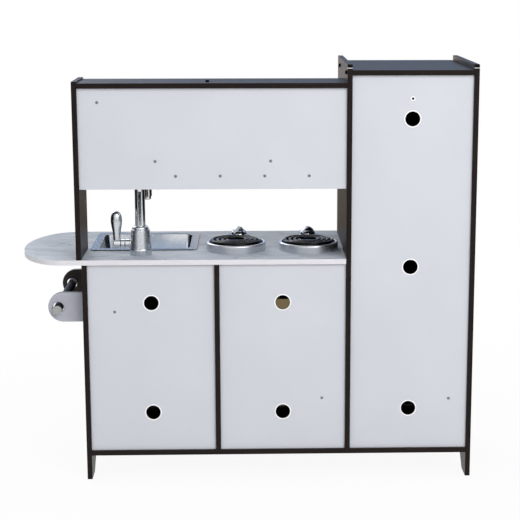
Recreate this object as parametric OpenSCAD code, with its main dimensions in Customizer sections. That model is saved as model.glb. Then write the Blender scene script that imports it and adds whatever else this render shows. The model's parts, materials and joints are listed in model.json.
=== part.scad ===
// Toy kitchen: tall fridge and freezer, oven bay, sink cupboard with a round-ended
// worktop, and a raised unit with a microwave and an open shelf.
// Millimetres. +Z is up, the doors face -Y, the back panels face +Y.
// The origin is the centre of the footprint, on the floor.

/* [Boards] */
// Thickness of the carcass boards
board_t = 12; // [9:0.5:15]
// Thickness of the back panels
panel_t = 5; // [3:0.5:6]
// How far the back panels sit in from the rear edges
panel_set = 6; // [3:0.5:12]
// Depth of the side boards
side_depth = 372; // [350:1:420]
// How far worktop and fridge top reach past the side boards in front
front_overhang = 16; // [6:1:24]

/* [Fridge column] */
// Clear width between the fridge sides
fridge_bay_w = 282; // [240:1:340]
// Height of the underside of the bottom board above the floor
foot_h = 60; // [50:1:90]
// Clear height from the bottom board to the fridge top board
fridge_clear_h = 900; // [860:1:980]
// How far the fridge sides stand up past the fridge top board
fridge_fin_h = 13; // [8:1:30]
// Height of the fridge compartment, from the bottom board to the freezer floor
fridge_room_h = 622; // [580:1:650]
// Height of the lower fridge shelf above the bottom board
low_shelf_h = 117.5; // [100:0.5:160]
// Height of the upper fridge shelf above the bottom board
high_shelf_h = 350; // [280:1:420]
// Size of the black corner caps on the fridge sides
cap_size = 9; // [5:0.5:12]

/* [Lower cabinet] */
// Clear width of the oven bay
oven_bay_w = 300; // [280:1:360]
// Clear width of the sink bay
sink_bay_w = 300; // [290:1:360]
// Clear height from the bottom board to the worktop
lower_clear_h = 457; // [440:1:500]
// Thickness of the worktop
counter_t = 12; // [10:0.5:18]
// How far the round end of the worktop reaches past the cabinet side
counter_end = 158; // [130:1:200]
// Straight run of the worktop past the cabinet side, before it rounds off
end_straight = 46; // [20:1:60]
// Height of the storage room under the oven
storage_h = 121; // [100:1:150]
// Height of the oven shelf above the oven floor
oven_shelf_h = 130; // [100:1:200]
// Height of the kick board
kick_h = 46; // [20:1:50]
// How far the kick board stands back from the front edges
kick_set = 24; // [10:1:60]
// Length of each foot on the floor
foot_l = 56; // [40:1:80]
// Length of each foot where the arch begins
foot_top_l = 92; // [80:1:110]
// Height of the slope on each foot
foot_slope_h = 30; // [15:1:34]
// Height of the arch between the feet
arch_h = 48; // [36:1:50]
// Run of the arch's rounded ends
arch_run = 12; // [6:1:20]

/* [Raised unit] */
// Depth of the raised unit
upper_depth = 153; // [140:1:200]
// Clear height from worktop to the top of the raised unit
upper_clear_h = 402; // [390:1:430]
// How far the raised side stands up past its top
upper_fin_h = 4; // [2:0.5:12]
// Height of the shelf above the worktop
upper_shelf_h = 227; // [222:1:236]
// Open height between worktop and upper back panel
sight_gap_h = 167; // [140:1:180]
// Clear width of the microwave bay
microwave_w = 318; // [280:1:330]

/* [Vent and strap holes] */
// Radius of the vent holes
vent_r = 17.5; // [10:0.5:22]
// Height of the low row of vent holes above the bottom board
vent_low_h = 94; // [90:1:98]
// Height of the high row in the cabinet backs above the bottom board
vent_high_h = 364; // [300:1:400]
// How much higher the fridge's low vent sits than the cabinet's
vent_step = 6; // [0:1:12]
// Height of the middle fridge vent above the bottom board
vent_mid_h = 448; // [400:1:500]
// Distance of the freezer vent below the fridge top board
vent_top_drop = 101; // [80:1:150]
// Radius of the wall strap hole
strap_r = 3; // [2:0.25:5]
// Distance of the strap hole below the fridge top board
strap_drop = 54; // [30:1:70]

/* [Doors] */
// Thickness of the doors
door_t = 12; // [11:0.5:15]
// Gap round each door
door_gap = 1.5; // [1:0.1:2.5]
// How far the door faces sit behind the front edges
door_set = 1; // [0.5:0.1:2]
// Extra width of the oven door's upper rim, which carries its handle
oven_rim_extra = 130; // [16:1:140]
// Width of the flat rim round a door's sunk panel
rim_w = 34; // [24:1:40]
// Depth of the sunk panel
sunk_d = 2.5; // [1:0.5:4]
// Radius of the pivot pins
pin_r = 3; // [2:0.25:3.5]
// Length of a pin in its board
pin_seat = 8; // [5:0.5:8.5]
// Length of a pin in its door
pin_reach = 12; // [8:0.5:20]
// Clearance round a moving pin
pin_gap = 0.05; // [0.02:0.01:0.08]
// Gap between a closed door and the shelves behind it
shelf_set = 4; // [2:0.5:10]
// Thickness of the clear windows
window_t = 2; // [1.5:0.25:3]
// Width of the lip that carries a window
window_lip = 8; // [5:0.5:10]

/* [Handles] */
// Radius of the handle bars
handle_r = 5.5; // [4:0.25:8]
// Reach of the door handles from the door
handle_reach = 36; // [30:1:45]
// Reach of the microwave handle
small_reach = 28; // [24:1:34]
// Distance of the handle bar from the door's edge
handle_in = 17; // [14:0.5:20]
// Distance of the fridge handle below the door's top edge
fridge_handle_drop = 60; // [30:1:120]
// Distance of the cupboard handle below the door's top edge
cupboard_handle_drop = 50; // [30:1:120]
// Length of the fridge handle
fridge_handle_l = 220; // [120:1:300]
// Length of the freezer handle
freezer_handle_l = 120; // [80:1:180]
// Length of the oven and storage handles
wide_handle_l = 200; // [120:1:240]
// Length of the cupboard and microwave handles
short_handle_l = 96; // [70:1:110]

/* [Catches] */
// Width of the magnetic catches
catch_w = 12; // [8:1:16]
// Length of the magnetic catches
catch_l = 26; // [18:1:40]
// Depth of the magnetic catches
catch_d = 16; // [10:1:24]
// Radius of the round magnets
magnet_r = 3; // [2:0.25:4]
// Distance of the fridge catch's foot below the freezer floor
fridge_catch_drop = 150; // [60:1:240]
// Distance of the cupboard catch's foot below the worktop
cupboard_catch_drop = 130; // [60:1:240]
// Gap between a catch and a closed door
catch_gap = 0.3; // [0.2:0.1:1]

/* [Sink] */
// Width of the sink's rim
rim_x = 260; // [244:1:270]
// Depth of the sink's rim from back to front
rim_y = 233; // [220:1:250]
// Radius of the rim's corners
rim_r = 12; // [6:1:20]
// Thickness of the sink's rim
rim_t = 2.2; // [1.5:0.1:4]
// Distance from the cabinet side's outer face to the sink's centre
sink_in = 137.5; // [136:0.5:150]
// Distance of the sink's centre from the rear edges
sink_back = 237.5; // [233:0.5:242]
// Width of the bowl's mouth
bowl_x = 228; // [200:1:235]
// Depth of the bowl's mouth from back to front
bowl_y = 197; // [170:1:210]
// Depth of the bowl
bowl_h = 66; // [50:1:90]
// How far the bowl's walls slope in on each side
bowl_draft = 9; // [4:1:14]
// Thickness of the sink's sheet
sink_wall = 2.5; // [1.5:0.25:4]
// Radius of the bowl's corners
bowl_r = 18; // [12:1:30]
// Radius of the strainer
strainer_r = 16; // [12:0.5:20]
// Clearance between the sink and its cut-out
sink_gap = 1.5; // [1:0.25:3]
// Gap between the loose pieces and what they rest on
rest_gap = 0.3; // [0.2:0.05:0.4]

/* [Faucet] */
// Distance from the cabinet side's outer face to the faucet
faucet_in = 135; // [130:0.5:150]
// Distance of the faucet from the rear edges
faucet_back = 74; // [66:0.5:76]
// Radius of the faucet's base
base_r = 27; // [24:0.5:30]
// Height of the faucet's base
base_h = 70; // [60:1:74]
// Radius at the top of the base
base_top_r = 19; // [17:0.5:22]
// Radius of the neck
neck_r = 12.1; // [9:0.1:13]
// Wall of the neck
neck_wall = 2; // [1:0.1:3]
// Reach of the spout from the neck's centre
spout_reach = 116; // [104:1:120]
// Clearance between the top of the spout's bend and the shelf above it
spout_clear = 4.9; // [1:0.1:20]
// Turn of the spout from straight ahead, in degrees
spout_turn = 4.5; // [0:0.5:20]
// Clearance between the nozzle and the neck that holds it
nozzle_gap = 0.1; // [0.05:0.05:0.3]
// Length of the nozzle held in the neck
nozzle_seat = 3; // [2:0.5:3.5]
// Distance from the bend down to the nozzle's mouth
nozzle_l = 36; // [33:1:42]
// Length of the spout's upright end
spout_drop = 28; // [10:0.5:30]
// Length of neck held in the base
neck_seat = 34; // [24:1:40]
// Height of the nut under the worktop
nut_h = 7; // [5:0.5:10]
// Radius of the threaded shank
shank_r = 10; // [8:0.5:12]
// Height of the lever's axis above the worktop
lever_axis_h = 27; // [24:0.5:32]
// Distance of the lever from the faucet's centre
lever_out = 57; // [50:0.5:62]
// Radius of the lever's stem
stem_r = 10; // [7:0.1:11]
// Length of the stem's spigot in the base
spigot_l = 10; // [6:0.5:14]
// Radius of the stem's spigot in the base
spigot_r = 5; // [4:0.25:6]
// Length of the lever above its axis
lever_l = 79; // [60:1:90]
// Radius of the lever's bulb
bulb_r = 13.5; // [10:0.1:14]
// Radius of the lever's neck
lever_neck_r = 8.6; // [5:0.1:9.5]

/* [Hob] */
// Radius of the burner pans
pan_r = 72; // [71:0.5:73]
// Height of the burner pans
pan_h = 20; // [14:0.5:22]
// Wall of the burner pans
pan_wall = 2.4; // [1.5:0.1:3]
// Distance of the burners from the rear edges
burner_back = 134; // [110:1:138]
// Distance of the left burner from the fridge side
burner_left = 84; // [80:1:90]
// Distance between the two burners
burner_pitch = 177; // [165:1:190]
// Radius of the coil's outer turn
coil_r = 58.5; // [46:0.5:59.5]
// Radius of the coil's tube
coil_tube_r = 4; // [3:0.25:4.5]
// Distance between the coil's turns
coil_pitch = 12; // [11:0.5:13]
// Number of half turns in the coil
coil_halves = 7; // [4:1:7]
// Width of the coil's support arms
trivet_w = 5; // [3:0.5:8]
// Height of the coil's support arms, from the pan's ledge to the coil's middle
trivet_h = 6; // [5:0.5:9]
// Radius of the pans' rolled rims
pan_rim_r = 4; // [3:0.25:4.5]
// Width of the ledge inside the pans' rims
ledge_w = 5; // [3:0.5:8]
// Radius of the pans' flat floor
dish_r = 32; // [20:1:44]
// Distance of the knobs from the rear edges
knob_back = 327; // [300:1:340]
// How far each knob stands from its burner's middle towards the fridge
knob_side = 5; // [0:0.5:12]
// Radius of the knob's skirt
knob_skirt_r = 26.5; // [24:0.5:32]
// Radius of the knob's dome
knob_r = 21; // [17:0.5:23]
// Height of the knobs
knob_h = 23; // [22:0.5:32]
// Height of the knob's skirt
skirt_h = 4; // [3:0.5:7]
// Depth of the finger scoops beside the knob's grip
grip_h = 10; // [6:0.5:12]
// Width of the knob's grip
grip_w = 12; // [9:0.5:18]
// Turn of the left knob's grip, in degrees
left_turn = 38; // [0:1:180]
// Turn of the right knob's grip, in degrees
right_turn = 62; // [0:1:180]
// Radius of the knob's pivot
knob_pin_r = 4; // [3:0.25:5]

/* [Towel holder] */
// Height of the brackets' centre above the bottom board
towel_h = 348; // [300:1:380]
// Reach of the brackets from the cabinet side
towel_reach = 86.5; // [76:0.5:100]
// Height of the brackets
bracket_h = 72; // [64:1:90]
// Thickness of the brackets
bracket_t = 12; // [8:0.5:18]
// Distance of the rear bracket's middle from the rear edges
bracket_back = 45; // [30:1:60]
// Distance between the brackets' middles
bracket_pitch = 275; // [250:1:300]
// Distance of the dowel hole's centre from the bracket's tip
towel_hole_in = 24; // [20:0.5:28]
// Drop of the dowel hole below the bracket's middle
towel_hole_drop = 1; // [0:0.5:7]
// Radius of the dowel hole
towel_hole_r = 13.2; // [12:0.1:15]
// Radius of the dowel
dowel_r = 10.9; // [8:0.1:11.4]
// How far the dowel stands out past each bracket
dowel_out = 22; // [5:0.5:24]

/* [Hooks and screws] */
// Number of hooks
hook_count = 4; // [2:1:5]
// Distance between hooks
hook_pitch = 104; // [80:1:110]
// Distance from the fridge side to the middle of the hook row
hook_mid = 243.5; // [230:0.5:260]
// Drop of the hooks below the upper shelf
hook_drop = 29; // [28:0.5:36]
// Radius of a hook's bend
hook_bend = 9; // [6:0.5:12]
// Radius of a hook's wire
hook_r = 3; // [2:0.25:4]
// Reach of a hook
hook_reach = 26; // [20:1:32]
// Radius of a hook's base
hook_base_r = 9; // [6:0.5:10]
// Thickness of a hook's base
hook_base_t = 3; // [2:0.25:5]
// Distance of the shelf's two screws from the raised unit's middle
shelf_screw_x = 134.5; // [100:0.5:160]
// Distance of the raised top's screw from the cabinet side's outer face
top_screw_in = 46; // [20:1:80]
// Drop of that screw below the raised top
top_screw_drop = 32; // [10:1:60]
// Distance of the sink panel's screw from the cabinet side
sink_screw_in = 63; // [20:1:90]
// Drop of that screw below the worktop
sink_screw_drop = 114; // [60:1:160]
// Distance of the oven floor's screw from the fridge side
oven_screw_in = 56; // [20:1:90]
// Distance of the fridge shelf's screw from the fridge's outer side
fridge_screw_in = 43.5; // [20:0.5:90]
// Depth of the raised side's two screws from the rear edges
side_screw_d = 111; // [60:1:120]
// Height of the lower one above the worktop
side_screw_low = 28; // [16:1:60]
// Height of the upper one above the worktop
side_screw_high = 124; // [90:1:150]
// Depth of the raised top's bolt from the rear edges
upper_bolt_d = 44; // [20:1:100]
// Depth of the rear bolt on the fridge side
bolt_back = 23; // [16:1:90]
// Distance of the front bolt on the fridge side from the front edge
bolt_front = 96; // [30:1:140]
// Radius of the small panel screws
screw_r = 3.6; // [2:0.1:4.5]
// Height of the small screw heads
screw_h = 1; // [0.5:0.1:1.5]
// Radius of the dark side screws
bolt_r = 4.5; // [3:0.1:5]
// How far the dark screws' heads stand out of the boards
bolt_h = 4; // [0.5:0.5:5]

/* [Hidden] */
$fn = 64;

espresso = "#3a2a22";
white_panel = "#dcdee4";
marble = "#b9c0cb";
silver = "#aab1bc";
chrome = "#d5d8dc";
black = "#17171a";
clear_blue = "#8fa3b4";

// Widths, from the fridge's outer face to the tip of the worktop
overall_w = 4 * board_t + fridge_bay_w + oven_bay_w + sink_bay_w + counter_end;
left_x = -overall_w / 2;
fridge_x0 = left_x + board_t;
fridge_x1 = fridge_x0 + fridge_bay_w;
oven_x0 = fridge_x1 + board_t;
oven_x1 = oven_x0 + oven_bay_w;
sink_x0 = oven_x1 + board_t;
sink_x1 = sink_x0 + sink_bay_w;
cabinet_x = sink_x1 + board_t;
microwave_x1 = oven_x0 + microwave_w;

// Depths are counted from the rear edges towards the doors
overall_d = side_depth - door_set + handle_reach;
back_y = overall_d / 2;
top_depth = side_depth + front_overhang;
face_d = side_depth - door_set;
axis_d = face_d - door_t / 2;
upper_face_d = upper_depth - door_set;
upper_axis_d = upper_face_d - door_t / 2;
inner_d = panel_set + panel_t;

// Heights
base_z = foot_h + board_t;
counter_z0 = base_z + lower_clear_h;
counter_z = counter_z0 + counter_t;
fridge_top_z = base_z + fridge_clear_h;
freezer_z = base_z + fridge_room_h + board_t;
oven_floor_z = base_z + storage_h + board_t;
upper_top_z = counter_z + upper_clear_h;
upper_shelf_z = counter_z + upper_shelf_h;
shelf_top_z = upper_shelf_z + board_t;
sight_z = counter_z + sight_gap_h;

// Pivot axes, measured from the board that the hinge edge runs beside
pivot_in = door_gap + door_t / 2;
fridge_pivot_x = fridge_x0 + pivot_in;
cupboard_pivot_x = sink_x1 - pivot_in;
microwave_pivot_x = microwave_x1 - pivot_in;
oven_pivot_z = oven_floor_z + pivot_in;
storage_pivot_z = base_z + pivot_in;

sink_x = cabinet_x - sink_in;
faucet_x = cabinet_x - faucet_in;
left_burner_x = oven_x0 + burner_left;
right_burner_x = left_burner_x + burner_pitch;
left_knob_x = left_burner_x - knob_side;
right_knob_x = right_burner_x - knob_side;
bend_r = spout_reach / 2;
neck_z0 = counter_z + base_h - neck_seat;
bend_z = upper_shelf_z - spout_clear - neck_r - bend_r;
nozzle_z = bend_z - nozzle_l;
nozzle_r = neck_r - neck_wall - nozzle_gap;
coil_z = counter_z + pan_h - pan_rim_r + trivet_h;
towel_z = base_z + towel_h;
towel_tip_x = cabinet_x + towel_reach;
towel_hole_x = towel_tip_x - towel_hole_in;
towel_hole_z = towel_z - towel_hole_drop;
dowel_z = towel_hole_z - (towel_hole_r - dowel_r) + rest_gap;
hook_z = upper_shelf_z - hook_drop;
knob_bore_h = knob_h - 8;
// Top edge of the fridge sides
fin_z = fridge_top_z + board_t + fridge_fin_h;
pin_l = pin_seat + door_gap + pin_reach;
// The freezer floor carries a pin on each side, so each takes half its thickness less a web
pin_split = board_t / 2 - 1;
bolt_depths = [bolt_back, side_depth - bolt_front];
bolt_z = fridge_top_z + board_t / 2;

// Sizes of the door leaves
fridge_leaf_w = fridge_bay_w - 2 * door_gap;
fridge_leaf_h = fridge_room_h - 2 * door_gap;
freezer_leaf_h = fridge_top_z - freezer_z - 2 * door_gap;
cupboard_leaf_w = sink_bay_w - 2 * door_gap;
cupboard_leaf_h = lower_clear_h - 2 * door_gap;
oven_leaf_w = oven_bay_w - 2 * door_gap;
oven_leaf_h = counter_z0 - oven_floor_z - 2 * door_gap;
storage_leaf_h = storage_h - 2 * door_gap;
microwave_leaf_w = microwave_w - 2 * door_gap;
microwave_leaf_h = upper_top_z - shelf_top_z - 2 * door_gap;
oven_top_rim = rim_w + oven_rim_extra;
eps = 0.01;
EPS2 = 2 * eps;

// Depth from the rear edges, as a Y coordinate
function at(d) = back_y - d;

// A board between two X, two depths and two heights
module slab(x0, x1, d0, d1, z0, z1) {
    translate([x0, at(d1), z0]) cube([x1 - x0, d1 - d0, z1 - z0]);
}

// A cylinder along X, Y or Z whose start is at the given point
module rod_x(p, r, l) { translate(p) rotate([0, 90, 0]) cylinder(r = r, h = l); }
module rod_y(p, r, l) { translate(p) rotate([-90, 0, 0]) cylinder(r = r, h = l); }
module rod_z(p, r, l) { translate(p) cylinder(r = r, h = l); }

// ---- carcass ----

// Side view of a side board with its two feet
module foot_profile(top) {
    polygon([
        [0, 0], [foot_l, 0], [foot_top_l, foot_slope_h],
        [foot_top_l + arch_run / 3, arch_h - arch_run / 3], [foot_top_l + arch_run, arch_h],
        [side_depth - foot_top_l - arch_run, arch_h],
        [side_depth - foot_top_l - arch_run / 3, arch_h - arch_run / 3],
        [side_depth - foot_top_l, foot_slope_h], [side_depth - foot_l, 0],
        [side_depth, 0], [side_depth, top], [0, top]
    ]);
}

// A side board that stands on the floor; the profile runs from back to front
module floor_side(x, top) {
    translate([x, back_y, 0]) rotate([90, 0, -90]) translate([0, 0, -board_t])
        linear_extrude(board_t) foot_profile(top);
}

// A notch for the black cap at the top rear corner of a fridge side
module cap_notch(x) {
    slab(x - eps, x + board_t + eps, -eps, cap_size, fin_z - cap_size, fin_z + eps);
}

// Blind holes for the pins, on the hinge line of each swinging door
module pin_hole_z(x, d, z) { rod_z([x, at(d), z], pin_r, pin_seat); }
module pin_hole_x(x, z) { rod_x([x, at(axis_d), z], pin_r, pin_seat); }

module fridge_outer_side() {
    color(espresso) difference() {
        floor_side(left_x, fin_z);
        cap_notch(left_x);
    }
}

module fridge_inner_side() {
    color(espresso) difference() {
        slab(fridge_x1, oven_x0, 0, side_depth, base_z, fin_z);
        cap_notch(fridge_x1);
        pin_hole_x(oven_x0 - pin_seat, oven_pivot_z);
        pin_hole_x(oven_x0 - pin_seat, storage_pivot_z);
        for (d = bolt_depths) rod_x([oven_x0 - screw_h, at(d), bolt_z], bolt_r, screw_h);
    }
}

module centre_partition() {
    color(espresso) difference() {
        slab(oven_x1, sink_x0, 0, side_depth, base_z, counter_z0);
        pin_hole_x(oven_x1, oven_pivot_z);
        pin_hole_x(oven_x1, storage_pivot_z);
    }
}

module cabinet_outer_side() { color(espresso) floor_side(sink_x1, counter_z0); }

module base_board() {
    color(espresso) difference() {
        slab(fridge_x0, sink_x1, 0, side_depth, foot_h, base_z);
        pin_hole_z(fridge_pivot_x, axis_d, base_z - pin_seat);
        pin_hole_z(cupboard_pivot_x, axis_d, base_z - pin_seat);
    }
}

module kick_board() {
    color(espresso) slab(fridge_x0, sink_x1, side_depth - kick_set - board_t,
                         side_depth - kick_set, foot_h - kick_h, foot_h);
}

module fridge_top_board() {
    color(espresso) difference() {
        slab(fridge_x0, fridge_x1, 0, top_depth, fridge_top_z, fridge_top_z + board_t);
        pin_hole_z(fridge_pivot_x, axis_d, fridge_top_z);
    }
}

// Worktop outline: straight to the cabinet side, then half an ellipse
module counter_outline() {
    end_a = counter_end - end_straight;
    translate([oven_x0, at(top_depth)]) square([overall_w / 2 - end_a - oven_x0, top_depth]);
    translate([overall_w / 2 - end_a, at(top_depth / 2)]) intersection() {
        ellipse(end_a, top_depth / 2);
        translate([0, -top_depth / 2]) square([end_a, top_depth]);
    }
}

// An ellipse as a many-sided outline
module ellipse(a, b) {
    polygon([for (i = [0:71]) [a * cos(5 * i), b * sin(5 * i)]]);
}

module rounded_rect(w, d, r) {
    union() {
        square([w - 2 * r, d], center = true);
        square([w, d - 2 * r], center = true);
        for (sx = [-1, 1]) for (sy = [-1, 1])
            translate([sx * (w / 2 - r), sy * (d / 2 - r)]) circle(r);
    }
}

module counter_top() {
    color(marble) difference() {
        translate([0, 0, counter_z0]) linear_extrude(counter_t) counter_outline();
        translate([sink_x, at(sink_back), counter_z0 - eps]) linear_extrude(counter_t + EPS2)
            rounded_rect(bowl_x + 2 * sink_gap, bowl_y + 2 * sink_gap, bowl_r + sink_gap);
        rod_z([faucet_x, at(faucet_back), counter_z0 - eps], shank_r, counter_t + EPS2);
        for (x = [left_knob_x, right_knob_x])
            rod_z([x, at(knob_back), counter_z0 - eps], knob_pin_r, counter_t + EPS2);
        pin_hole_z(cupboard_pivot_x, axis_d, counter_z0);
    }
}

// ---- back panels ----

module back_panel(x0, x1, z0, z1) { slab(x0, x1, panel_set, inner_d, z0, z1); }
module vent(x, z, r) { rod_y([x, at(inner_d) - eps, z], r, panel_t + EPS2); }

module fridge_back_panel() {
    mid = (fridge_x0 + fridge_x1) / 2;
    color(white_panel) difference() {
        back_panel(fridge_x0, fridge_x1, base_z, fridge_top_z);
        vent(mid, base_z + vent_low_h + vent_step, vent_r);
        vent(mid, base_z + vent_mid_h, vent_r);
        vent(mid, fridge_top_z - vent_top_drop, vent_r);
        vent(mid, fridge_top_z - strap_drop, strap_r);
    }
}

module oven_back_panel() {
    mid = (oven_x0 + oven_x1) / 2;
    color(white_panel) difference() {
        back_panel(oven_x0, oven_x1, base_z, counter_z0);
        for (h = [vent_low_h, vent_high_h]) vent(mid, base_z + h, vent_r);
    }
}

module sink_back_panel() {
    mid = (sink_x0 + sink_x1) / 2;
    color(white_panel) difference() {
        back_panel(sink_x0, sink_x1, base_z, counter_z0);
        for (h = [vent_low_h, vent_high_h]) vent(mid, base_z + h, vent_r);
    }
}

module upper_back_panel() { color(white_panel) back_panel(oven_x0, cabinet_x, sight_z, upper_top_z); }

// ---- raised unit and shelves ----

module upper_side_board() {
    color(espresso) slab(cabinet_x, cabinet_x + board_t, 0, upper_depth, counter_z,
                         upper_top_z + board_t + upper_fin_h);
}

module upper_top_board() {
    color(espresso) difference() {
        slab(oven_x0, cabinet_x, 0, upper_depth, upper_top_z, upper_top_z + board_t);
        pin_hole_z(microwave_pivot_x, upper_axis_d, upper_top_z);
        rod_z([microwave_x1 + board_t / 2, at(upper_bolt_d), upper_top_z + board_t - screw_h],
              bolt_r, screw_h);
        // pockets for the heads on the fridge side, where the board reaches up to them
        for (d = bolt_depths)
            rod_x([oven_x0 - eps, at(d), bolt_z], bolt_r + rest_gap, bolt_h + rest_gap + eps);
    }
}

module upper_shelf() {
    color(espresso) difference() {
        slab(oven_x0, cabinet_x, inner_d, upper_depth, upper_shelf_z, shelf_top_z);
        pin_hole_z(microwave_pivot_x, upper_axis_d, shelf_top_z - pin_seat);
    }
}

module microwave_divider() {
    color(espresso) slab(microwave_x1, microwave_x1 + board_t, inner_d, upper_depth,
                         shelf_top_z, upper_top_z);
}

module freezer_floor() {
    color(espresso) difference() {
        slab(fridge_x0, fridge_x1, inner_d, side_depth, freezer_z - board_t, freezer_z);
        pin_hole_z(fridge_pivot_x, axis_d, freezer_z - pin_split);
        rod_z([fridge_pivot_x, at(axis_d), freezer_z - board_t], pin_r, pin_split);
    }
}

// A shelf behind a door, clear of the door's inner face
module inner_shelf(x0, x1, z) {
    color(espresso) slab(x0, x1, inner_d, axis_d - door_t / 2 - shelf_set, z, z + board_t);
}

module fridge_upper_shelf() { inner_shelf(fridge_x0, fridge_x1, base_z + high_shelf_h); }
module fridge_lower_shelf() { inner_shelf(fridge_x0, fridge_x1, base_z + low_shelf_h); }

module oven_floor() {
    color(espresso) slab(oven_x0, oven_x1, inner_d, side_depth, oven_floor_z - board_t, oven_floor_z);
}

module oven_shelf() { inner_shelf(oven_x0, oven_x1, oven_floor_z + oven_shelf_h - board_t); }

// ---- small fittings of the carcass ----

// One hook: base disc, straight wire, quarter bend upwards and a round tip
module hook(x) {
    tip = 4;
    translate([x, at(inner_d), hook_z]) rotate([0, 0, 180]) {
        rotate([-90, 0, 0]) cylinder(r = hook_base_r, h = hook_base_t);
        rotate([-90, 0, 0]) cylinder(r = hook_r, h = hook_reach - hook_bend);
        translate([0, hook_reach - hook_bend, hook_bend]) rotate([90, 0, 90]) rotate([0, 0, -90])
            rotate_extrude(angle = 90) translate([hook_bend, 0]) circle(hook_r);
        translate([0, hook_reach, hook_bend]) cylinder(r = hook_r, h = tip);
        translate([0, hook_reach, hook_bend + tip + 1]) sphere(hook_r + 1);
    }
}

module wall_hooks() {
    color(silver) for (i = [0:hook_count - 1])
        hook(oven_x0 + hook_mid + (i - (hook_count - 1) / 2) * hook_pitch);
}

module door_pivot_pins() {
    color(chrome) {
        // freezer door: top and bottom
        rod_z([fridge_pivot_x, at(axis_d), fridge_top_z - door_gap - pin_reach], pin_r, pin_l);
        rod_z([fridge_pivot_x, at(axis_d), freezer_z - pin_split], pin_r,
              pin_split + door_gap + pin_reach);
        // fridge door: top and bottom
        rod_z([fridge_pivot_x, at(axis_d), freezer_z - board_t - door_gap - pin_reach], pin_r,
              pin_split + door_gap + pin_reach);
        rod_z([fridge_pivot_x, at(axis_d), base_z - pin_seat], pin_r, pin_l);
        // cupboard door
        rod_z([cupboard_pivot_x, at(axis_d), counter_z0 - door_gap - pin_reach], pin_r, pin_l);
        rod_z([cupboard_pivot_x, at(axis_d), base_z - pin_seat], pin_r, pin_l);
        // microwave door
        rod_z([microwave_pivot_x, at(upper_axis_d), upper_top_z - door_gap - pin_reach], pin_r, pin_l);
        rod_z([microwave_pivot_x, at(upper_axis_d), shelf_top_z - pin_seat], pin_r, pin_l);
        // oven and storage doors
        for (z = [oven_pivot_z, storage_pivot_z]) {
            rod_x([oven_x0 - pin_seat, at(axis_d), z], pin_r, pin_l);
            rod_x([oven_x1 - door_gap - pin_reach, at(axis_d), z], pin_r, pin_l);
        }
    }
}

// A catch block whose round magnet sits a little back from its front, at depth d
magnet_set = 1;
module catch_block(x, d, z, lx, lz) {
    difference() {
        translate([x, at(d), z]) cube([lx, catch_d, lz]);
        rod_y([x + lx / 2, at(d) - eps, z + lz / 2], magnet_r, magnet_set);
    }
}

module door_magnets() {
    d = axis_d - door_t / 2 - catch_gap;
    upper_d = upper_axis_d - door_t / 2 - catch_gap;
    color(black) {
        catch_block(fridge_x1 - catch_w, d, (freezer_z + fridge_top_z) / 2 - catch_l / 2,
                    catch_w, catch_l);
        catch_block(fridge_x1 - catch_w, d, freezer_z - board_t - fridge_catch_drop, catch_w, catch_l);
        catch_block(sink_x0, d, counter_z0 - cupboard_catch_drop, catch_w, catch_l);
        catch_block(oven_x0, upper_d, (shelf_top_z + upper_top_z - catch_l) / 2, catch_w, catch_l);
        catch_block((oven_x0 + oven_x1 - catch_l) / 2, d, counter_z0 - catch_w, catch_l, catch_w);
        catch_block((oven_x0 + oven_x1 - catch_l) / 2, d, oven_floor_z - board_t - catch_w,
                    catch_l, catch_w);
    }
}

// A screw head on the rear face of a back panel
module panel_screw(x, z) {
    rod_y([x, at(panel_set), z], screw_r, screw_h * 0.6);
    translate([x, at(panel_set) + screw_h * 0.6, z]) rotate([-90, 0, 0])
        cylinder(r1 = screw_r, r2 = screw_r * 0.6, h = screw_h * 0.4);
}

module panel_screws() {
    unit_mid = (oven_x0 + cabinet_x) / 2;
    color(silver) {
        for (i = [0:hook_count - 1])
            panel_screw(oven_x0 + hook_mid + (i - (hook_count - 1) / 2) * hook_pitch, hook_z);
        for (s = [-1, 1]) panel_screw(unit_mid + s * shelf_screw_x, upper_shelf_z + board_t / 2);
        panel_screw(cabinet_x - top_screw_in, upper_top_z - top_screw_drop);
        panel_screw(sink_x1 - sink_screw_in, counter_z0 - sink_screw_drop);
        panel_screw(oven_x0 + oven_screw_in, oven_floor_z - board_t / 2);
        panel_screw(fridge_x0 + fridge_screw_in, base_z + low_shelf_h + board_t / 2);
        // two screws through the raised side, with their heads inside
        for (h = [side_screw_low, side_screw_high])
            rod_x([cabinet_x - screw_h, at(side_screw_d), counter_z + h], screw_r, screw_h);
    }
}

// Dark heads of the board screws, seated in shallow counterbores
module side_bolts() {
    head = screw_h + bolt_h;
    color(black) {
        for (d = bolt_depths) rod_x([oven_x0 - screw_h, at(d), bolt_z], bolt_r, head);
        rod_z([microwave_x1 + board_t / 2, at(upper_bolt_d), upper_top_z + board_t - screw_h],
              bolt_r, head);
    }
}

module corner_caps() {
    r = cap_size * 0.6;
    color(black) for (x = [left_x, fridge_x1])
        translate([x, at(cap_size), fin_z - cap_size]) intersection() {
            cube([board_t, cap_size, cap_size]);
            union() {
                cube([board_t, cap_size - r, cap_size]);
                cube([board_t, cap_size, cap_size - r]);
                translate([0, cap_size - r, cap_size - r]) rotate([0, 90, 0]) cylinder(r = r, h = board_t);
            }
        }
}

// ---- hob ----

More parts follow.
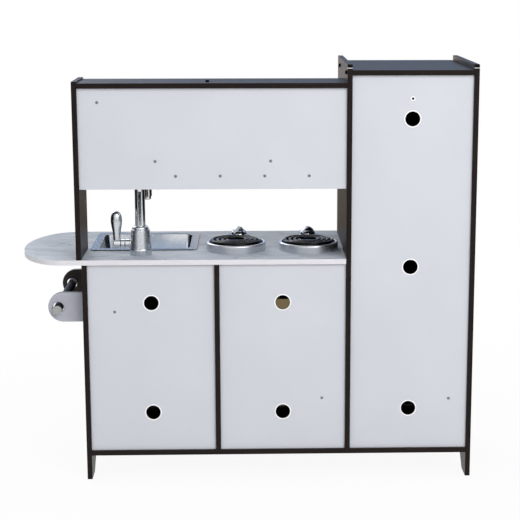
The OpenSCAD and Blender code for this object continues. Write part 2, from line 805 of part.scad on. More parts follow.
// A pressed pan: upright wall, rolled rim, ledge for the coil and a dished floor
module burner_pan(x) {
    w = pan_wall;
    rim = pan_rim_r;
    ledge_z = pan_h - rim;
    ledge_r = pan_r - 2 * rim;
    color(silver) translate([x, at(burner_back), counter_z]) rotate_extrude($fn = 96)
            polygon(concat(
                [[pan_r, 0]],
                [for (a = [0:15:180]) [pan_r - rim + rim * cos(a), pan_h - rim + rim * sin(a)]],
                [[ledge_r - ledge_w, ledge_z], [dish_r, w + 1.5], [0, w + 1.5],
                 [0, 1.5], [dish_r - 1, 1.5], [ledge_r - ledge_w - 1, ledge_z - w],
                 [pan_r - w, ledge_z - w], [pan_r - w, 0]]
            ));
}

module left_burner_pan() { burner_pan(left_burner_x); }
module right_burner_pan() { burner_pan(right_burner_x); }

// A flat spiral of half rings whose centres step from side to side, on a three-armed support
// whose arms rest on the pan's ledge
module burner_coil(x) {
    step = coil_pitch / 2;
    arm_l = pan_r - 2 * pan_rim_r - 1;
    color(black) translate([x, at(burner_back), coil_z]) {
        for (i = [0:coil_halves - 1])
            translate([i % 2 == 0 ? 0 : step / 2, 0, 0]) rotate([0, 0, i % 2 == 0 ? 0 : 180])
                rotate_extrude(angle = 180) translate([coil_r - i * step + (i % 2 == 0 ? 0 : step / 2), 0])
                    circle(coil_tube_r, $fn = 32);
        for (a = [-30, 90, 210]) rotate([0, 0, a])
            translate([0, -trivet_w / 2, -trivet_h]) cube([arm_l, trivet_w, trivet_h]);
        translate([0, 0, -trivet_h]) cylinder(r = 9, h = trivet_h);
    }
}

module left_burner_coil() { burner_coil(left_burner_x); }
module right_burner_coil() { burner_coil(right_burner_x); }

pivot_head_t = 2;
module knob_pivots() {
    color(silver) for (x = [left_knob_x, right_knob_x]) {
        rod_z([x, at(knob_back), counter_z0], knob_pin_r, counter_t + knob_bore_h - 1);
        rod_z([x, at(knob_back), counter_z0 - pivot_head_t], knob_pin_r * 2, pivot_head_t);
    }
}

// Dome outline: radius at the share t of its height
function dome(t) = knob_r * pow(1 - pow(t, 1.5), 0.67);

// Skirt and a pointed dome whose two sides are scooped away beside the grip
module knob(x, turn) {
    edge = 2;
    n = 12;
    dome_h = knob_h - skirt_h;
    scoop_z = knob_h - grip_h;
    color(chrome) translate([x, at(knob_back), counter_z + rest_gap]) rotate([0, 0, turn]) difference() {
        rotate_extrude() polygon(concat(
            [[0, 0], [knob_skirt_r, 0], [knob_skirt_r, edge], [knob_r + edge, skirt_h]],
            [for (i = [0:n - 1]) [dome(i / n), skirt_h + dome_h * i / n]],
            [[0, knob_h]]
        ));
        for (s = [-1, 1]) translate([-knob_r, s * (grip_w + knob_r) / 2 - knob_r / 2, scoop_z])
            cube([2 * knob_r, knob_r, knob_h]);
        translate([0, 0, -eps]) cylinder(r = knob_pin_r + pin_gap, h = knob_bore_h);
    }
}

module left_knob() { knob(left_knob_x, left_turn); }
module right_knob() { knob(right_knob_x, right_turn); }

// ---- sink and faucet ----

// A drawn bowl: outline at the mouth, drawn in towards the floor
module bowl_solid(grow, z0, z1) {
    hull() {
        translate([0, 0, z1]) linear_extrude(eps)
            rounded_rect(bowl_x + 2 * grow, bowl_y + 2 * grow, bowl_r + grow, $fn = 32);
        translate([0, 0, z0]) linear_extrude(eps)
            rounded_rect(bowl_x - 2 * bowl_draft + 2 * grow, bowl_y - 2 * bowl_draft + 2 * grow,
                         bowl_r - 4 + grow, $fn = 32);
    }
}

module sink_basin() {
    color(silver) translate([sink_x, at(sink_back), counter_z + rest_gap]) difference() {
        union() {
            linear_extrude(rim_t) rounded_rect(rim_x, rim_y, rim_r);
            bowl_solid(0, -bowl_h, 0);
        }
        bowl_solid(-sink_wall, -bowl_h + sink_wall, rim_t);
        translate([0, 0, -bowl_h - eps]) cylinder(r = strainer_r, h = sink_wall + EPS2);
    }
}

module sink_strainer() {
    flange_t = 1;
    drain_r = 2;
    color(chrome) translate([sink_x, at(sink_back), counter_z + rest_gap - bowl_h]) difference() {
        union() {
            cylinder(r = strainer_r, h = sink_wall);
            translate([0, 0, sink_wall]) difference() {
                cylinder(r = strainer_r + 3, h = flange_t);
                translate([0, 0, -eps]) cylinder(r = strainer_r - 2, h = flange_t + EPS2);
            }
        }
        for (a = [0:60:300]) rotate([0, 0, a]) translate([strainer_r * 0.56, 0, -eps])
            cylinder(r = drain_r, h = sink_wall + EPS2);
        translate([0, 0, -eps]) cylinder(r = drain_r, h = sink_wall + EPS2);
    }
}

// Flared foot, tapered body, stepped collar and a rounded shoulder round the neck
module faucet_base() {
    foot = 13;
    step = 9;
    shank_l = counter_t + nut_h + 2;
    color(silver) translate([faucet_x, at(faucet_back), counter_z]) difference() {
        union() {
            rotate_extrude($fn = 96) polygon([
                [0, 0], [base_r - 0.6, 0], [base_r, foot], [base_r - 1, foot + 1.5],
                [base_r - 1.2, foot + 2.5],
                [base_top_r + 3.4, base_h - step - 3], [base_top_r + 3, base_h - step],
                [base_top_r + 0.6, base_h - step + 0.4], [base_top_r + 0.4, base_h - step / 2],
                [base_top_r - 1.5, base_h - 1.5], [base_top_r - 4, base_h], [0, base_h]
            ]);
            translate([0, 0, -shank_l]) cylinder(r = shank_r, h = shank_l);
            translate([0, 0, lever_axis_h]) rotate([0, 90, 0]) cylinder(r = stem_r + 0.6, h = base_r);
        }
        translate([0, 0, base_h - neck_seat]) cylinder(r = neck_r + pin_gap, h = neck_seat + eps);
        translate([base_r - spigot_l - 2, 0, lever_axis_h]) rotate([0, 90, 0])
            cylinder(r = spigot_r + pin_gap, h = spigot_l + 2 + eps);
    }
}

module faucet_nut() {
    color(black) translate([faucet_x, at(faucet_back), counter_z0 - nut_h]) difference() {
        cylinder(r = shank_r * 1.7, h = nut_h, $fn = 6);
        translate([0, 0, -eps]) cylinder(r = shank_r, h = nut_h + EPS2);
    }
}

// The neck's path as a solid of radius r: upright, half ring, short drop
module neck_path(r, cut) {
    translate([0, 0, neck_z0 - cut]) cylinder(r = r, h = bend_z - neck_z0 + cut);
    translate([0, -bend_r, bend_z]) rotate([90, 0, 90])
        rotate_extrude(angle = 180) translate([bend_r, 0]) circle(r);
    translate([0, -spout_reach, bend_z - spout_drop - cut]) cylinder(r = r, h = spout_drop + cut);
}

module turned_spout() {
    translate([faucet_x, at(faucet_back), 0]) rotate([0, 0, -spout_turn]) children();
}

module faucet_spout() {
    color(chrome) turned_spout() difference() {
        translate([0, 0, rest_gap]) neck_path(neck_r, 0);
        translate([0, 0, rest_gap]) neck_path(neck_r - neck_wall, eps);
    }
}

// Outlet pushed into the open end of the spout
module spout_nozzle() {
    top = bend_z - spout_drop + nozzle_seat + rest_gap;
    lip = 2;
    wall = 2.4;
    color(chrome) turned_spout() translate([0, -spout_reach, 0]) difference() {
        union() {
            translate([0, 0, nozzle_z + lip]) cylinder(r = nozzle_r, h = top - nozzle_z - lip);
            translate([0, 0, nozzle_z]) cylinder(r1 = nozzle_r - 1, r2 = nozzle_r, h = lip);
        }
        translate([0, 0, nozzle_z - eps]) cylinder(r = nozzle_r - wall, h = top - nozzle_z + EPS2);
    }
}

// Stem of three rings that turns in the side of the base; the lever stands on the outer one
module lever_stem() {
    l = lever_out + lever_neck_r - base_r - rest_gap;
    groove = 1.6;
    seat_l = 2 * lever_neck_r;
    ring = (l - seat_l) / 2 - groove;
    color(silver) translate([faucet_x + base_r + rest_gap, at(faucet_back), counter_z + lever_axis_h])
        rotate([0, 90, 0]) {
            translate([0, 0, -spigot_l]) cylinder(r = spigot_r, h = spigot_l);
            cylinder(r = stem_r - groove, h = l - groove);
            for (i = [0, 1]) translate([0, 0, i * (ring + groove)]) cylinder(r = stem_r, h = ring);
            translate([0, 0, l - seat_l]) cylinder(r = stem_r, h = seat_l - groove);
            translate([0, 0, l - groove]) cylinder(r1 = stem_r, r2 = stem_r - groove, h = groove);
        }
}

// Bulb outline: slim at the stem, widest at two thirds, round at the top
function bulb(t) = (lever_neck_r + (bulb_r - lever_neck_r) * pow(sin(90 * min(1, t / 0.66)), 3))
    * sqrt(max(0, 1 - pow(max(0, (t - 0.66) / 0.34), 2.6)));

module lever_handle() {
    n = 28;
    l = lever_l - stem_r + 1;
    color(silver) translate([faucet_x + lever_out, at(faucet_back), counter_z + lever_axis_h + stem_r - 1])
        difference() {
            rotate_extrude() polygon(concat([[0, 0]],
                [for (i = [0:n]) let (t = 1 - pow(1 - i / n, 1.6)) [bulb(t), l * t]]));
            translate([-20, 0, 1 - stem_r]) rotate([0, 90, 0]) cylinder(r = stem_r, h = 40);
        }
}

// ---- towel holder ----

module bracket(d) {
    r = bracket_h / 2;
    color(white_panel) translate([0, at(d + bracket_t / 2), 0]) difference() {
        union() {
            translate([cabinet_x, 0, towel_z - r]) cube([towel_reach - r, bracket_t, bracket_h]);
            rod_y([towel_tip_x - r, 0, towel_z], r, bracket_t);
        }
        rod_y([towel_hole_x, -eps, towel_hole_z], towel_hole_r, bracket_t + EPS2);
    }
}

module towel_rear_bracket() { bracket(bracket_back); }
module towel_front_bracket() { bracket(bracket_back + bracket_pitch); }

module towel_dowel() {
    l = bracket_pitch + bracket_t + 2 * dowel_out;
    ch = 1.2;
    start = at(bracket_back + bracket_pitch + bracket_t / 2 + dowel_out);
    color(silver) translate([towel_hole_x, start, dowel_z]) rotate([-90, 0, 0]) {
        cylinder(r1 = dowel_r - ch, r2 = dowel_r, h = ch);
        translate([0, 0, ch]) cylinder(r = dowel_r, h = l - 2 * ch);
        translate([0, 0, l - ch]) cylinder(r1 = dowel_r, r2 = dowel_r - ch, h = ch);
    }
}

// ---- doors ----

// A door leaf that lies in the XZ plane, its hinge edge half round about the pin line.
// The leaf fills x from 0 to w and z from 0 to h; its hinge edge is at x = 0; y is its thickness.
module leaf(w, h) {
    r = door_t / 2;
    translate([r, -r, 0]) cube([w - r, door_t, h]);
    translate([r, 0, 0]) cylinder(r = r, h = h);
}

// The sunk panel on the front face of a leaf
module sunk(w, h) {
    translate([rim_w, -door_t / 2 - eps, rim_w]) rotate([90, 0, 0]) translate([0, 0, -sunk_d])
        linear_extrude(sunk_d + eps) translate([(w - 2 * rim_w) / 2, (h - 2 * rim_w) / 2])
            rounded_rect(w - 2 * rim_w, h - 2 * rim_w, 4);
}

// The pane of a window, which leaves a rim of its own width at the leaf's free edge
module pane(w, h, free_rim, extra) {
    translate([rim_w - window_lip, door_t / 2 - window_t, rim_w - window_lip])
        cube([w - rim_w - free_rim + 2 * window_lip, window_t + extra, h - 2 * rim_w + 2 * window_lip]);
}

// A leaf with a window: clear through inside the lip, with a rebate behind for the pane
module window_leaf(w, h, free_rim) {
    color(espresso) difference() {
        leaf(w, h);
        translate([rim_w, -door_t, rim_w]) cube([w - rim_w - free_rim, 2 * door_t, h - 2 * rim_w]);
        pane(w, h, free_rim, eps);
        pin_bores(h);
    }
}

module pin_bores(h) {
    r = door_t / 2;
    translate([r, 0, -eps]) cylinder(r = pin_r + pin_gap, h = pin_reach + 1);
    translate([r, 0, h - pin_reach - 1]) cylinder(r = pin_r + pin_gap, h = pin_reach + 1 + eps);
}

// A bar on two posts, upright, centred on z = 0, standing out in front of a leaf
module bar_handle(l, reach) {
    face = -door_t / 2;
    bar = face - reach + handle_r;
    post_in = 2.4 * handle_r;
    flange_t = 2;
    translate([0, bar, -l / 2 + handle_r]) cylinder(r = handle_r, h = l - 2 * handle_r);
    for (s = [-1, 1]) {
        translate([0, bar, s * (l / 2 - handle_r)]) sphere(handle_r);
        translate([0, face, s * (l / 2 - post_in)]) rotate([90, 0, 0])
            cylinder(r = handle_r * 0.8, h = reach - handle_r);
        translate([0, face, s * (l / 2 - post_in)]) rotate([90, 0, 0])
            cylinder(r = handle_r * 1.3, h = flange_t);
    }
}

// Places a leaf that swings on an upright line, hinge edge to the left or to the right
module hang_left(x, d, z) { translate([x, at(d), z]) children(); }
module hang_right(x, d, z) { translate([x, at(d), z]) mirror([1, 0, 0]) children(); }

// Places a leaf that drops on a level line: its hinge edge lies along X
module hang_low(x, d, z) {
    translate([x, at(d), z]) mirror([1, 0, 0]) rotate([0, -90, 0]) children();
}

module at_freezer() { hang_left(fridge_x0 + door_gap, axis_d, freezer_z + door_gap) children(); }
module at_fridge() { hang_left(fridge_x0 + door_gap, axis_d, base_z + door_gap) children(); }
module at_cupboard() { hang_right(sink_x1 - door_gap, axis_d, base_z + door_gap) children(); }
module at_microwave() {
    hang_right(microwave_x1 - door_gap, upper_axis_d, shelf_top_z + door_gap) children();
}
module at_oven() { hang_low(oven_x0 + door_gap, axis_d, oven_floor_z + door_gap) children(); }
module at_storage() { hang_low(oven_x0 + door_gap, axis_d, base_z + door_gap) children(); }

module solid_leaf(w, h) {
    color(espresso) difference() {
        leaf(w, h);
        sunk(w, h);
        pin_bores(h);
    }
}

module freezer_door() { at_freezer() solid_leaf(fridge_leaf_w, freezer_leaf_h); }
module fridge_door() { at_fridge() solid_leaf(fridge_leaf_w, fridge_leaf_h); }
module cupboard_door() { at_cupboard() solid_leaf(cupboard_leaf_w, cupboard_leaf_h); }
module storage_door() { at_storage() solid_leaf(storage_leaf_h, oven_leaf_w); }

module oven_door() { at_oven() window_leaf(oven_leaf_h, oven_leaf_w, oven_top_rim); }
module microwave_door() { at_microwave() window_leaf(microwave_leaf_w, microwave_leaf_h, rim_w); }

module oven_window() {
    color(clear_blue, 0.35) at_oven() pane(oven_leaf_h, oven_leaf_w, oven_top_rim, 0);
}

module microwave_window() {
    color(clear_blue, 0.35) at_microwave() pane(microwave_leaf_w, microwave_leaf_h, rim_w, 0);
}

module freezer_handle() {
    color(chrome) at_freezer() translate([fridge_leaf_w - handle_in, 0, freezer_leaf_h / 2])
        bar_handle(freezer_handle_l, handle_reach);
}

module fridge_handle() {
    z = fridge_leaf_h - fridge_handle_l / 2 - fridge_handle_drop;
    color(chrome) at_fridge() translate([fridge_leaf_w - handle_in, 0, z])
        bar_handle(fridge_handle_l, handle_reach);
}

module cupboard_handle() {
    z = cupboard_leaf_h - short_handle_l / 2 - cupboard_handle_drop;
    color(chrome) at_cupboard() translate([cupboard_leaf_w - handle_in, 0, z])
        bar_handle(short_handle_l, handle_reach);
}

module microwave_handle() {
    color(chrome) at_microwave() translate([microwave_leaf_w - handle_in, 0, microwave_leaf_h / 2])
        bar_handle(short_handle_l, small_reach);
}

module oven_handle() {
    color(chrome) at_oven() translate([oven_leaf_h - oven_top_rim / 2, 0, oven_leaf_w / 2])
        bar_handle(wide_handle_l, handle_reach);
}

module storage_handle() {
    color(chrome) at_storage() translate([storage_leaf_h - handle_in, 0, oven_leaf_w / 2])
        bar_handle(wide_handle_l, handle_reach);
}

fridge_outer_side();
fridge_inner_side();
centre_partition();
cabinet_outer_side();
base_board();
kick_board();
fridge_top_board();
counter_top();
fridge_back_panel();
oven_back_panel();
sink_back_panel();
upper_back_panel();
upper_side_board();
upper_top_board();
upper_shelf();
microwave_divider();
freezer_floor();
fridge_upper_shelf();
fridge_lower_shelf();
oven_floor();
oven_shelf();
wall_hooks();
door_pivot_pins();
door_magnets();
panel_screws();
side_bolts();
corner_caps();
left_burner_pan();
right_burner_pan();
left_burner_coil();
right_burner_coil();
knob_pivots();
faucet_base();
faucet_nut();
towel_rear_bracket();
towel_front_bracket();
freezer_door();
freezer_handle();
fridge_door();
fridge_handle();
oven_door();
oven_window();
oven_handle();
storage_door();
storage_handle();
cupboard_door();
cupboard_handle();
microwave_door();
microwave_window();
microwave_handle();
sink_basin();
sink_strainer();
faucet_spout();
spout_nozzle();
lever_stem();
lever_handle();
left_knob();
right_knob();
towel_dowel();
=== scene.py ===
"""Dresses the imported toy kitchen: eased boards, foils, plated metal, hob, sink, fittings and the studio."""

import json
from math import atan2, degrees, pi, radians

import bpy
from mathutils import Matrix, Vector

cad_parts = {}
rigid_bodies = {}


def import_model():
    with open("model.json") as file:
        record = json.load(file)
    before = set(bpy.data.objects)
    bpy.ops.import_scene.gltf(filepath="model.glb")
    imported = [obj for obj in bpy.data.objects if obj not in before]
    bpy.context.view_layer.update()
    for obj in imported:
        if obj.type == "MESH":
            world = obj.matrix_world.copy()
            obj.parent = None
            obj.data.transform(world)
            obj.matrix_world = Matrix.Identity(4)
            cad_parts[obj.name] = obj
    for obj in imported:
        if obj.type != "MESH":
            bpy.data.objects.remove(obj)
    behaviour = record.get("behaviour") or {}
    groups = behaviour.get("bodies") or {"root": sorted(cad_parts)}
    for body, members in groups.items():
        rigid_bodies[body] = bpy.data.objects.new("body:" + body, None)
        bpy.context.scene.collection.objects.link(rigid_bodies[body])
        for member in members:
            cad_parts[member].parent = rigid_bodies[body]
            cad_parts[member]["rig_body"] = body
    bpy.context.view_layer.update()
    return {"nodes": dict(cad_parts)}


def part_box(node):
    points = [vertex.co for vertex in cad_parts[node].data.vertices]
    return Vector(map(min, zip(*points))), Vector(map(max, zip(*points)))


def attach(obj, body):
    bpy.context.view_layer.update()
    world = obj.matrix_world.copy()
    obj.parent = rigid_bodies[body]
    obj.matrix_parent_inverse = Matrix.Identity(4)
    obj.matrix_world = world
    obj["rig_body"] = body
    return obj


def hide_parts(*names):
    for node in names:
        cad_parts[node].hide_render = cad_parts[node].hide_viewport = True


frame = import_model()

bl_info = {
    "name": "Toy Kitchen Dresser",
    "version": (1, 1, 0),
    "blender": (4, 5, 0),
    "location": "3D View > Sidebar > Toy Kitchen",
    "description": "Gives a packed toy kitchen its finished boards, metals, fittings and studio",
    "category": "Object",
}

MM = 0.001
UP, REAR = Vector((0, 0, 1)), Vector((0, 1, 0))
LEVEL = 0.75  # least upright share of a normal for its face to count as level

CARCASS = (
    "fridge_outer_side", "fridge_inner_side", "centre_partition", "cabinet_outer_side", "base_board",
    "kick_board", "fridge_top_board", "upper_side_board", "upper_top_board", "upper_shelf",
    "microwave_divider", "freezer_floor", "fridge_upper_shelf", "fridge_lower_shelf", "oven_floor",
    "oven_shelf",
)
BACKS = ("fridge_back_panel", "oven_back_panel", "sink_back_panel", "upper_back_panel")
DOORS = ("freezer", "fridge", "oven", "storage", "cupboard", "microwave")


def linear(code, alpha=1.0):
    """An sRGB hex colour as the linear values that shaders take."""
    parts = [int(code[i:i + 2], 16) / 255 for i in (1, 3, 5)]
    return [p / 12.92 if p <= 0.04045 else ((p + 0.055) / 1.055) ** 2.4 for p in parts] + [alpha]


# ---- materials ----

def add(tree, kind, settings=None, inputs=None):
    """Adds a node with its settings; an input takes a value, a socket, or a node's first live output."""
    node = tree.nodes.new(kind)
    for name, value in (settings or {}).items():
        setattr(node, name, value)
    for key, value in (inputs or {}).items():
        socket = node.inputs[key] if isinstance(key, int) else next(
            s for s in node.inputs if s.name == key and s.enabled)
        if isinstance(value, bpy.types.Node):
            value = next(s for s in value.outputs if s.enabled)
        if isinstance(value, bpy.types.NodeSocket):
            tree.links.new(value, socket)
        else:
            socket.default_value = value
    return node


def once(maker, name, *args):
    """The material of that name, made on its first use."""
    material = bpy.data.materials.get(name)
    if material is None:
        material = bpy.data.materials.new(name)
        material.use_nodes = True
        material.node_tree.nodes.clear()
        maker(material.node_tree, *args)
    return material


def surface(tree, **inputs):
    """The Principled shader and the output. Underscores in names stand for spaces."""
    shader = add(tree, "ShaderNodeBsdfPrincipled", None, {k.replace("_", " "): v for k, v in inputs.items()})
    add(tree, "ShaderNodeOutputMaterial", None, {"Surface": shader})
    return shader


def mottle(tree, size_mm, stretch=(1, 1, 1), detail=3.0, turn=(0, 0, 0)):
    """Noise whose blotches are size_mm across, drawn out by stretch along each axis."""
    scale = [1 / (size_mm * MM * s) for s in stretch]
    place = add(tree, "ShaderNodeMapping", None, {
        "Vector": add(tree, "ShaderNodeTexCoord").outputs["Object"], "Scale": scale, "Rotation": turn})
    return add(tree, "ShaderNodeTexNoise", None, {"Vector": place, "Scale": 1.0, "Detail": detail})


def blend(tree, factor, first, second):
    """A colour between two, by factor."""
    return add(tree, "ShaderNodeMix", {"data_type": "RGBA"}, {"Factor": factor, "A": first, "B": second})


def spread(tree, value, low, high, out_low=0.0, out_high=1.0):
    """Maps low..high of a pattern to out_low..out_high."""
    return add(tree, "ShaderNodeMapRange", None, {
        "Value": value, "From Min": low, "From Max": high, "To Min": out_low, "To Max": out_high})


def relief(tree, height, depth_mm, strength=1.0):
    """Bump from a pattern, depth_mm deep."""
    return add(tree, "ShaderNodeBump", None, {
        "Height": height, "Distance": depth_mm * MM, "Strength": strength})


def toned(colour, share):
    """A colour whose light is taken to a share of itself, below or above 1."""
    return [c * share for c in colour[:3]] + [1.0]


def lacquered_board(tree, colour, along, gleam):
    """Espresso lacquer on fibreboard, printed and rolled: a deep brown film with a faint grain that runs the
    board's length, and a satin sheen that shows the room along its flats."""
    stretch = [1.0, 1.0, 1.0]
    stretch[along] = 14.0
    grain = mottle(tree, 5, stretch, 4.0)
    pores = mottle(tree, 1.2, stretch, 2.0)
    tone = blend(tree, spread(tree, grain, 0.35, 0.7), colour, toned(colour, 1.9))
    surface(tree, Base_Color=tone, Roughness=spread(tree, pores, 0.3, 0.7, 0.34, 0.46),
            Specular_IOR_Level=gleam, Normal=relief(tree, pores, 0.12, 0.35))


def melamine_foil(tree, colour):
    """White melamine foil pressed on thin hardboard: an even, cool white with a faint calendered texture."""
    cloud = mottle(tree, 180, detail=2.0)
    dimple = mottle(tree, 1.5, detail=1.0)
    tone = blend(tree, spread(tree, cloud, 0.3, 0.7), toned(colour, 0.96), colour)
    surface(tree, Base_Color=tone, Roughness=spread(tree, dimple, 0.3, 0.7, 0.5, 0.6),
            Specular_IOR_Level=0.3, Normal=relief(tree, dimple, 0.05, 0.3))


def raw_hardboard(tree, dark, pale):
    """Raw hardboard, sawn and drilled: brown felted fibres with no sheen."""
    fibre = mottle(tree, 1.0, detail=4.0)
    surface(tree, Base_Color=blend(tree, spread(tree, fibre, 0.3, 0.7), dark, pale), Roughness=0.9,
            Specular_IOR_Level=0.15, Normal=relief(tree, fibre, 0.2, 0.6))


def marble_foil(tree, ground, cloud, vein):
    """Marble-print foil, pressed and matt: soft blue-grey clouds, a few thin darker veins and fine grains."""
    wisp = mottle(tree, 34, (1.8, 1, 1), 5.0, (0, 0, 0.5))
    line = mottle(tree, 70, (2.4, 1, 1), 6.0, (0, 0, 0.6))
    grain = mottle(tree, 2.4, detail=2.0)
    away = add(tree, "ShaderNodeMath", {"operation": "ABSOLUTE"}, {
        0: add(tree, "ShaderNodeMath", {"operation": "SUBTRACT"}, {0: line, 1: 0.5})})
    tone = blend(tree, spread(tree, wisp, 0.35, 0.68), ground, cloud)
    tone = blend(tree, spread(tree, away, 0.0, 0.022, 0.55, 0.0), tone, vein)
    tone = blend(tree, spread(tree, grain, 0.56, 0.72, 0.0, 0.35), tone, vein)
    surface(tree, Base_Color=tone, Roughness=spread(tree, grain, 0.3, 0.7, 0.55, 0.68),
            Specular_IOR_Level=0.12, Normal=relief(tree, grain, 0.04, 0.3))


def edge_band(tree, colour):
    """White PVC edge band, ironed on: smooth, with a low sheen and faint waves along it."""
    wave = mottle(tree, 9, (3, 3, 1), 2.0)
    surface(tree, Base_Color=blend(tree, spread(tree, wave, 0.3, 0.7), toned(colour, 0.95), colour),
            Roughness=spread(tree, wave, 0.3, 0.7, 0.42, 0.52), Specular_IOR_Level=0.3,
            Normal=relief(tree, wave, 0.05, 0.3))


def painted_board(tree, colour):
    """Sprayed paint on a sawn bracket: even, low sheen, with a slight orange peel."""
    peel = mottle(tree, 2.2, detail=1.5)
    surface(tree, Base_Color=blend(tree, spread(tree, peel, 0.3, 0.7), toned(colour, 0.95), colour),
            Roughness=spread(tree, peel, 0.3, 0.7, 0.48, 0.58), Specular_IOR_Level=0.3,
            Normal=relief(tree, peel, 0.08, 0.4))


def bright_metal(tree, colour, low, high):
    """Metal, plated or polished: it shows the room, broken by a fine haze and long shallow waves."""
    haze = mottle(tree, 6, detail=2.0)
    wave = mottle(tree, 14, detail=1.0)
    surface(tree, Base_Color=blend(tree, spread(tree, haze, 0.35, 0.7), colour, toned(colour, 0.95)),
            Metallic=1.0, Roughness=spread(tree, haze, 0.3, 0.7, low, high),
            Normal=relief(tree, wave, 0.01, 0.4))


def black_enamel(tree, colour, tint):
    """Satin black enamel on a bent tube: a near-black coat whose crowns catch a thin cool line."""
    grit = mottle(tree, 0.9, detail=2.0)
    surface(tree, Base_Color=blend(tree, spread(tree, grit, 0.4, 0.75), colour, toned(colour, 1.8)),
            Roughness=spread(tree, grit, 0.3, 0.7, 0.18, 0.26), Specular_IOR_Level=0.24, Specular_Tint=tint,
            Normal=relief(tree, grit, 0.05, 0.4))


def moulded_plastic(tree, colour, roughness, gloss):
    """Moulded ABS: a fine spark-eroded grain, with a soft sheen."""
    grain = mottle(tree, 0.6, detail=2.0)
    surface(tree, Base_Color=blend(tree, spread(tree, grain, 0.35, 0.7), colour, toned(colour, 1.25)),
            Roughness=spread(tree, grain, 0.3, 0.7, roughness * 0.9, roughness * 1.1),
            Specular_IOR_Level=gloss, Normal=relief(tree, grain, 0.03, 0.4))


def clear_acrylic(tree, colour):
    """Clear smoke acrylic sheet: it bends light at 1.49 and keeps faint rub marks."""
    rub = mottle(tree, 3, (1, 1, 6), 3.0)
    surface(tree, Base_Color=colour, Roughness=spread(tree, rub, 0.45, 0.75, 0.01, 0.06), IOR=1.49,
            Transmission_Weight=1.0)


# Roughness of each metal in its clear and in its hazed patches
HAZE = {
    "plated_chrome": (0.06, 0.12), "plated_knob": (0.08, 0.16), "satin_plate": (0.24, 0.34),
    "zinc_plate": (0.28, 0.42), "screw_steel": (0.3, 0.4), "pressed_steel": (0.3, 0.4),
    "rim_steel_painted_dark": (0.2, 0.28), "bowl_steel_painted_pale": (0.18, 0.26), "shaded_steel": (0.2, 0.3),
}
# Roughness and strength of reflections of each plastic
GRAIN = {
    "lip_highlight": (0.4, 0.4), "black_abs": (0.42, 0.4), "cap_black": (0.6, 0.06), "seam_highlight": (0.45, 0.4),
    "rim_flank_shadow": (0.5, 0.1), "dowel_end": (0.45, 0.4),
}


def metal(name, colour):
    """One of the metals, in a colour."""
    return once(bright_metal, name, colour, *HAZE[name])


def plastic(name, colour):
    """One of the plastics, in a colour."""
    return once(moulded_plastic, name, colour, *GRAIN[name])


# ---- shaping ----

def lone(piece):
    """Selects one object and makes it active."""
    if bpy.context.mode != "OBJECT":
        bpy.ops.object.mode_set(mode="OBJECT")
    bpy.ops.object.select_all(action="DESELECT")
    piece.select_set(True)
    bpy.context.view_layer.objects.active = piece


def edit(piece):
    """Opens one object in edit mode with all of it selected."""
    lone(piece)
    bpy.ops.object.mode_set(mode="EDIT")
    bpy.ops.mesh.select_all(action="SELECT")


def close():
    """Leaves edit mode with nothing selected in the mesh."""
    bpy.ops.mesh.select_all(action="DESELECT")
    bpy.ops.object.mode_set(mode="OBJECT")


def body_of(node):
    """The CAD body that a node rides on."""
    return frame["nodes"][node]["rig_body"]


def merged_copy(node, name):
    """A node's shape as one joined mesh."""
    piece = bpy.data.objects.new(name, frame["nodes"][node].data.copy())
    bpy.context.collection.objects.link(piece)
    edit(piece)
    bpy.ops.mesh.remove_doubles(threshold=0.004 * MM)
    bpy.ops.mesh.dissolve_limited(angle_limit=radians(0.5))
    close()
    return piece


def ease(piece, radius, segments=2, sharp=35):
    """Rounds a mesh's sharp edges by a radius in metres and evens the shading of its flats."""
    lone(piece)
    if radius:
        cut = piece.modifiers.new("ease", "BEVEL")
        cut.width, cut.segments, cut.use_clamp_overlap = radius, segments, True
        cut.limit_method, cut.angle_limit = "ANGLE", radians(sharp)
        bpy.ops.object.modifier_apply(modifier=cut.name)
    bpy.ops.object.shade_smooth_by_angle(angle=radians(40))
    even = piece.modifiers.new("even", "WEIGHTED_NORMAL")
    even.keep_sharp = True
    bpy.ops.object.modifier_apply(modifier=even.name)
    return piece


def eased_copy(node, radius, segments=2, sharp=35):
    """A node's shape with its sharp edges eased."""
    return ease(merged_copy(node, node + "_eased"), radius, segments, sharp)


def turned(name, profile, sides=32):
    """A shape turned about Z from (radius, height) pairs: a disc pulled up and sized ring by ring."""
    radius, height = profile[0]
    bpy.ops.object.select_all(action="DESELECT")
    bpy.ops.mesh.primitive_circle_add(
        vertices=sides, radius=radius, fill_type="NGON", location=(0, 0, height))
    piece = bpy.context.object
    piece.name = name
    bpy.ops.object.transform_apply(location=True)
    edit(piece)
    for wide, high in profile[1:]:
        bpy.ops.mesh.extrude_region_move(TRANSFORM_OT_translate={"value": (0, 0, high - height)})
        bpy.ops.transform.resize(value=(wide / radius, wide / radius, 1), center_override=(0, 0, high))
        radius, height = wide, high
    bpy.ops.mesh.select_all(action="SELECT")
    bpy.ops.mesh.normals_make_consistent(inside=False)
    close()
    return piece


def lay(piece, place, axis=UP):
    """Turns a piece's Z towards an axis, sets it at a place and bakes both into its mesh."""
    lone(piece)
    piece.location = place
    piece.rotation_euler = UP.rotation_difference(Vector(axis)).to_euler()
    bpy.ops.object.transform_apply(location=True, rotation=True, scale=True)
    return piece


def twin(piece, name):
    """A copy of a piece with its own mesh."""
    other = bpy.data.objects.new(name, piece.data.copy())
    bpy.context.collection.objects.link(other)
    return other


def joined(pieces, name):
    """Several pieces as one."""
    lone(pieces[0])
    for piece in pieces:
        piece.select_set(True)
    if len(pieces) > 1:
        bpy.ops.object.join()
    pieces[0].name = name
    return pieces[0]


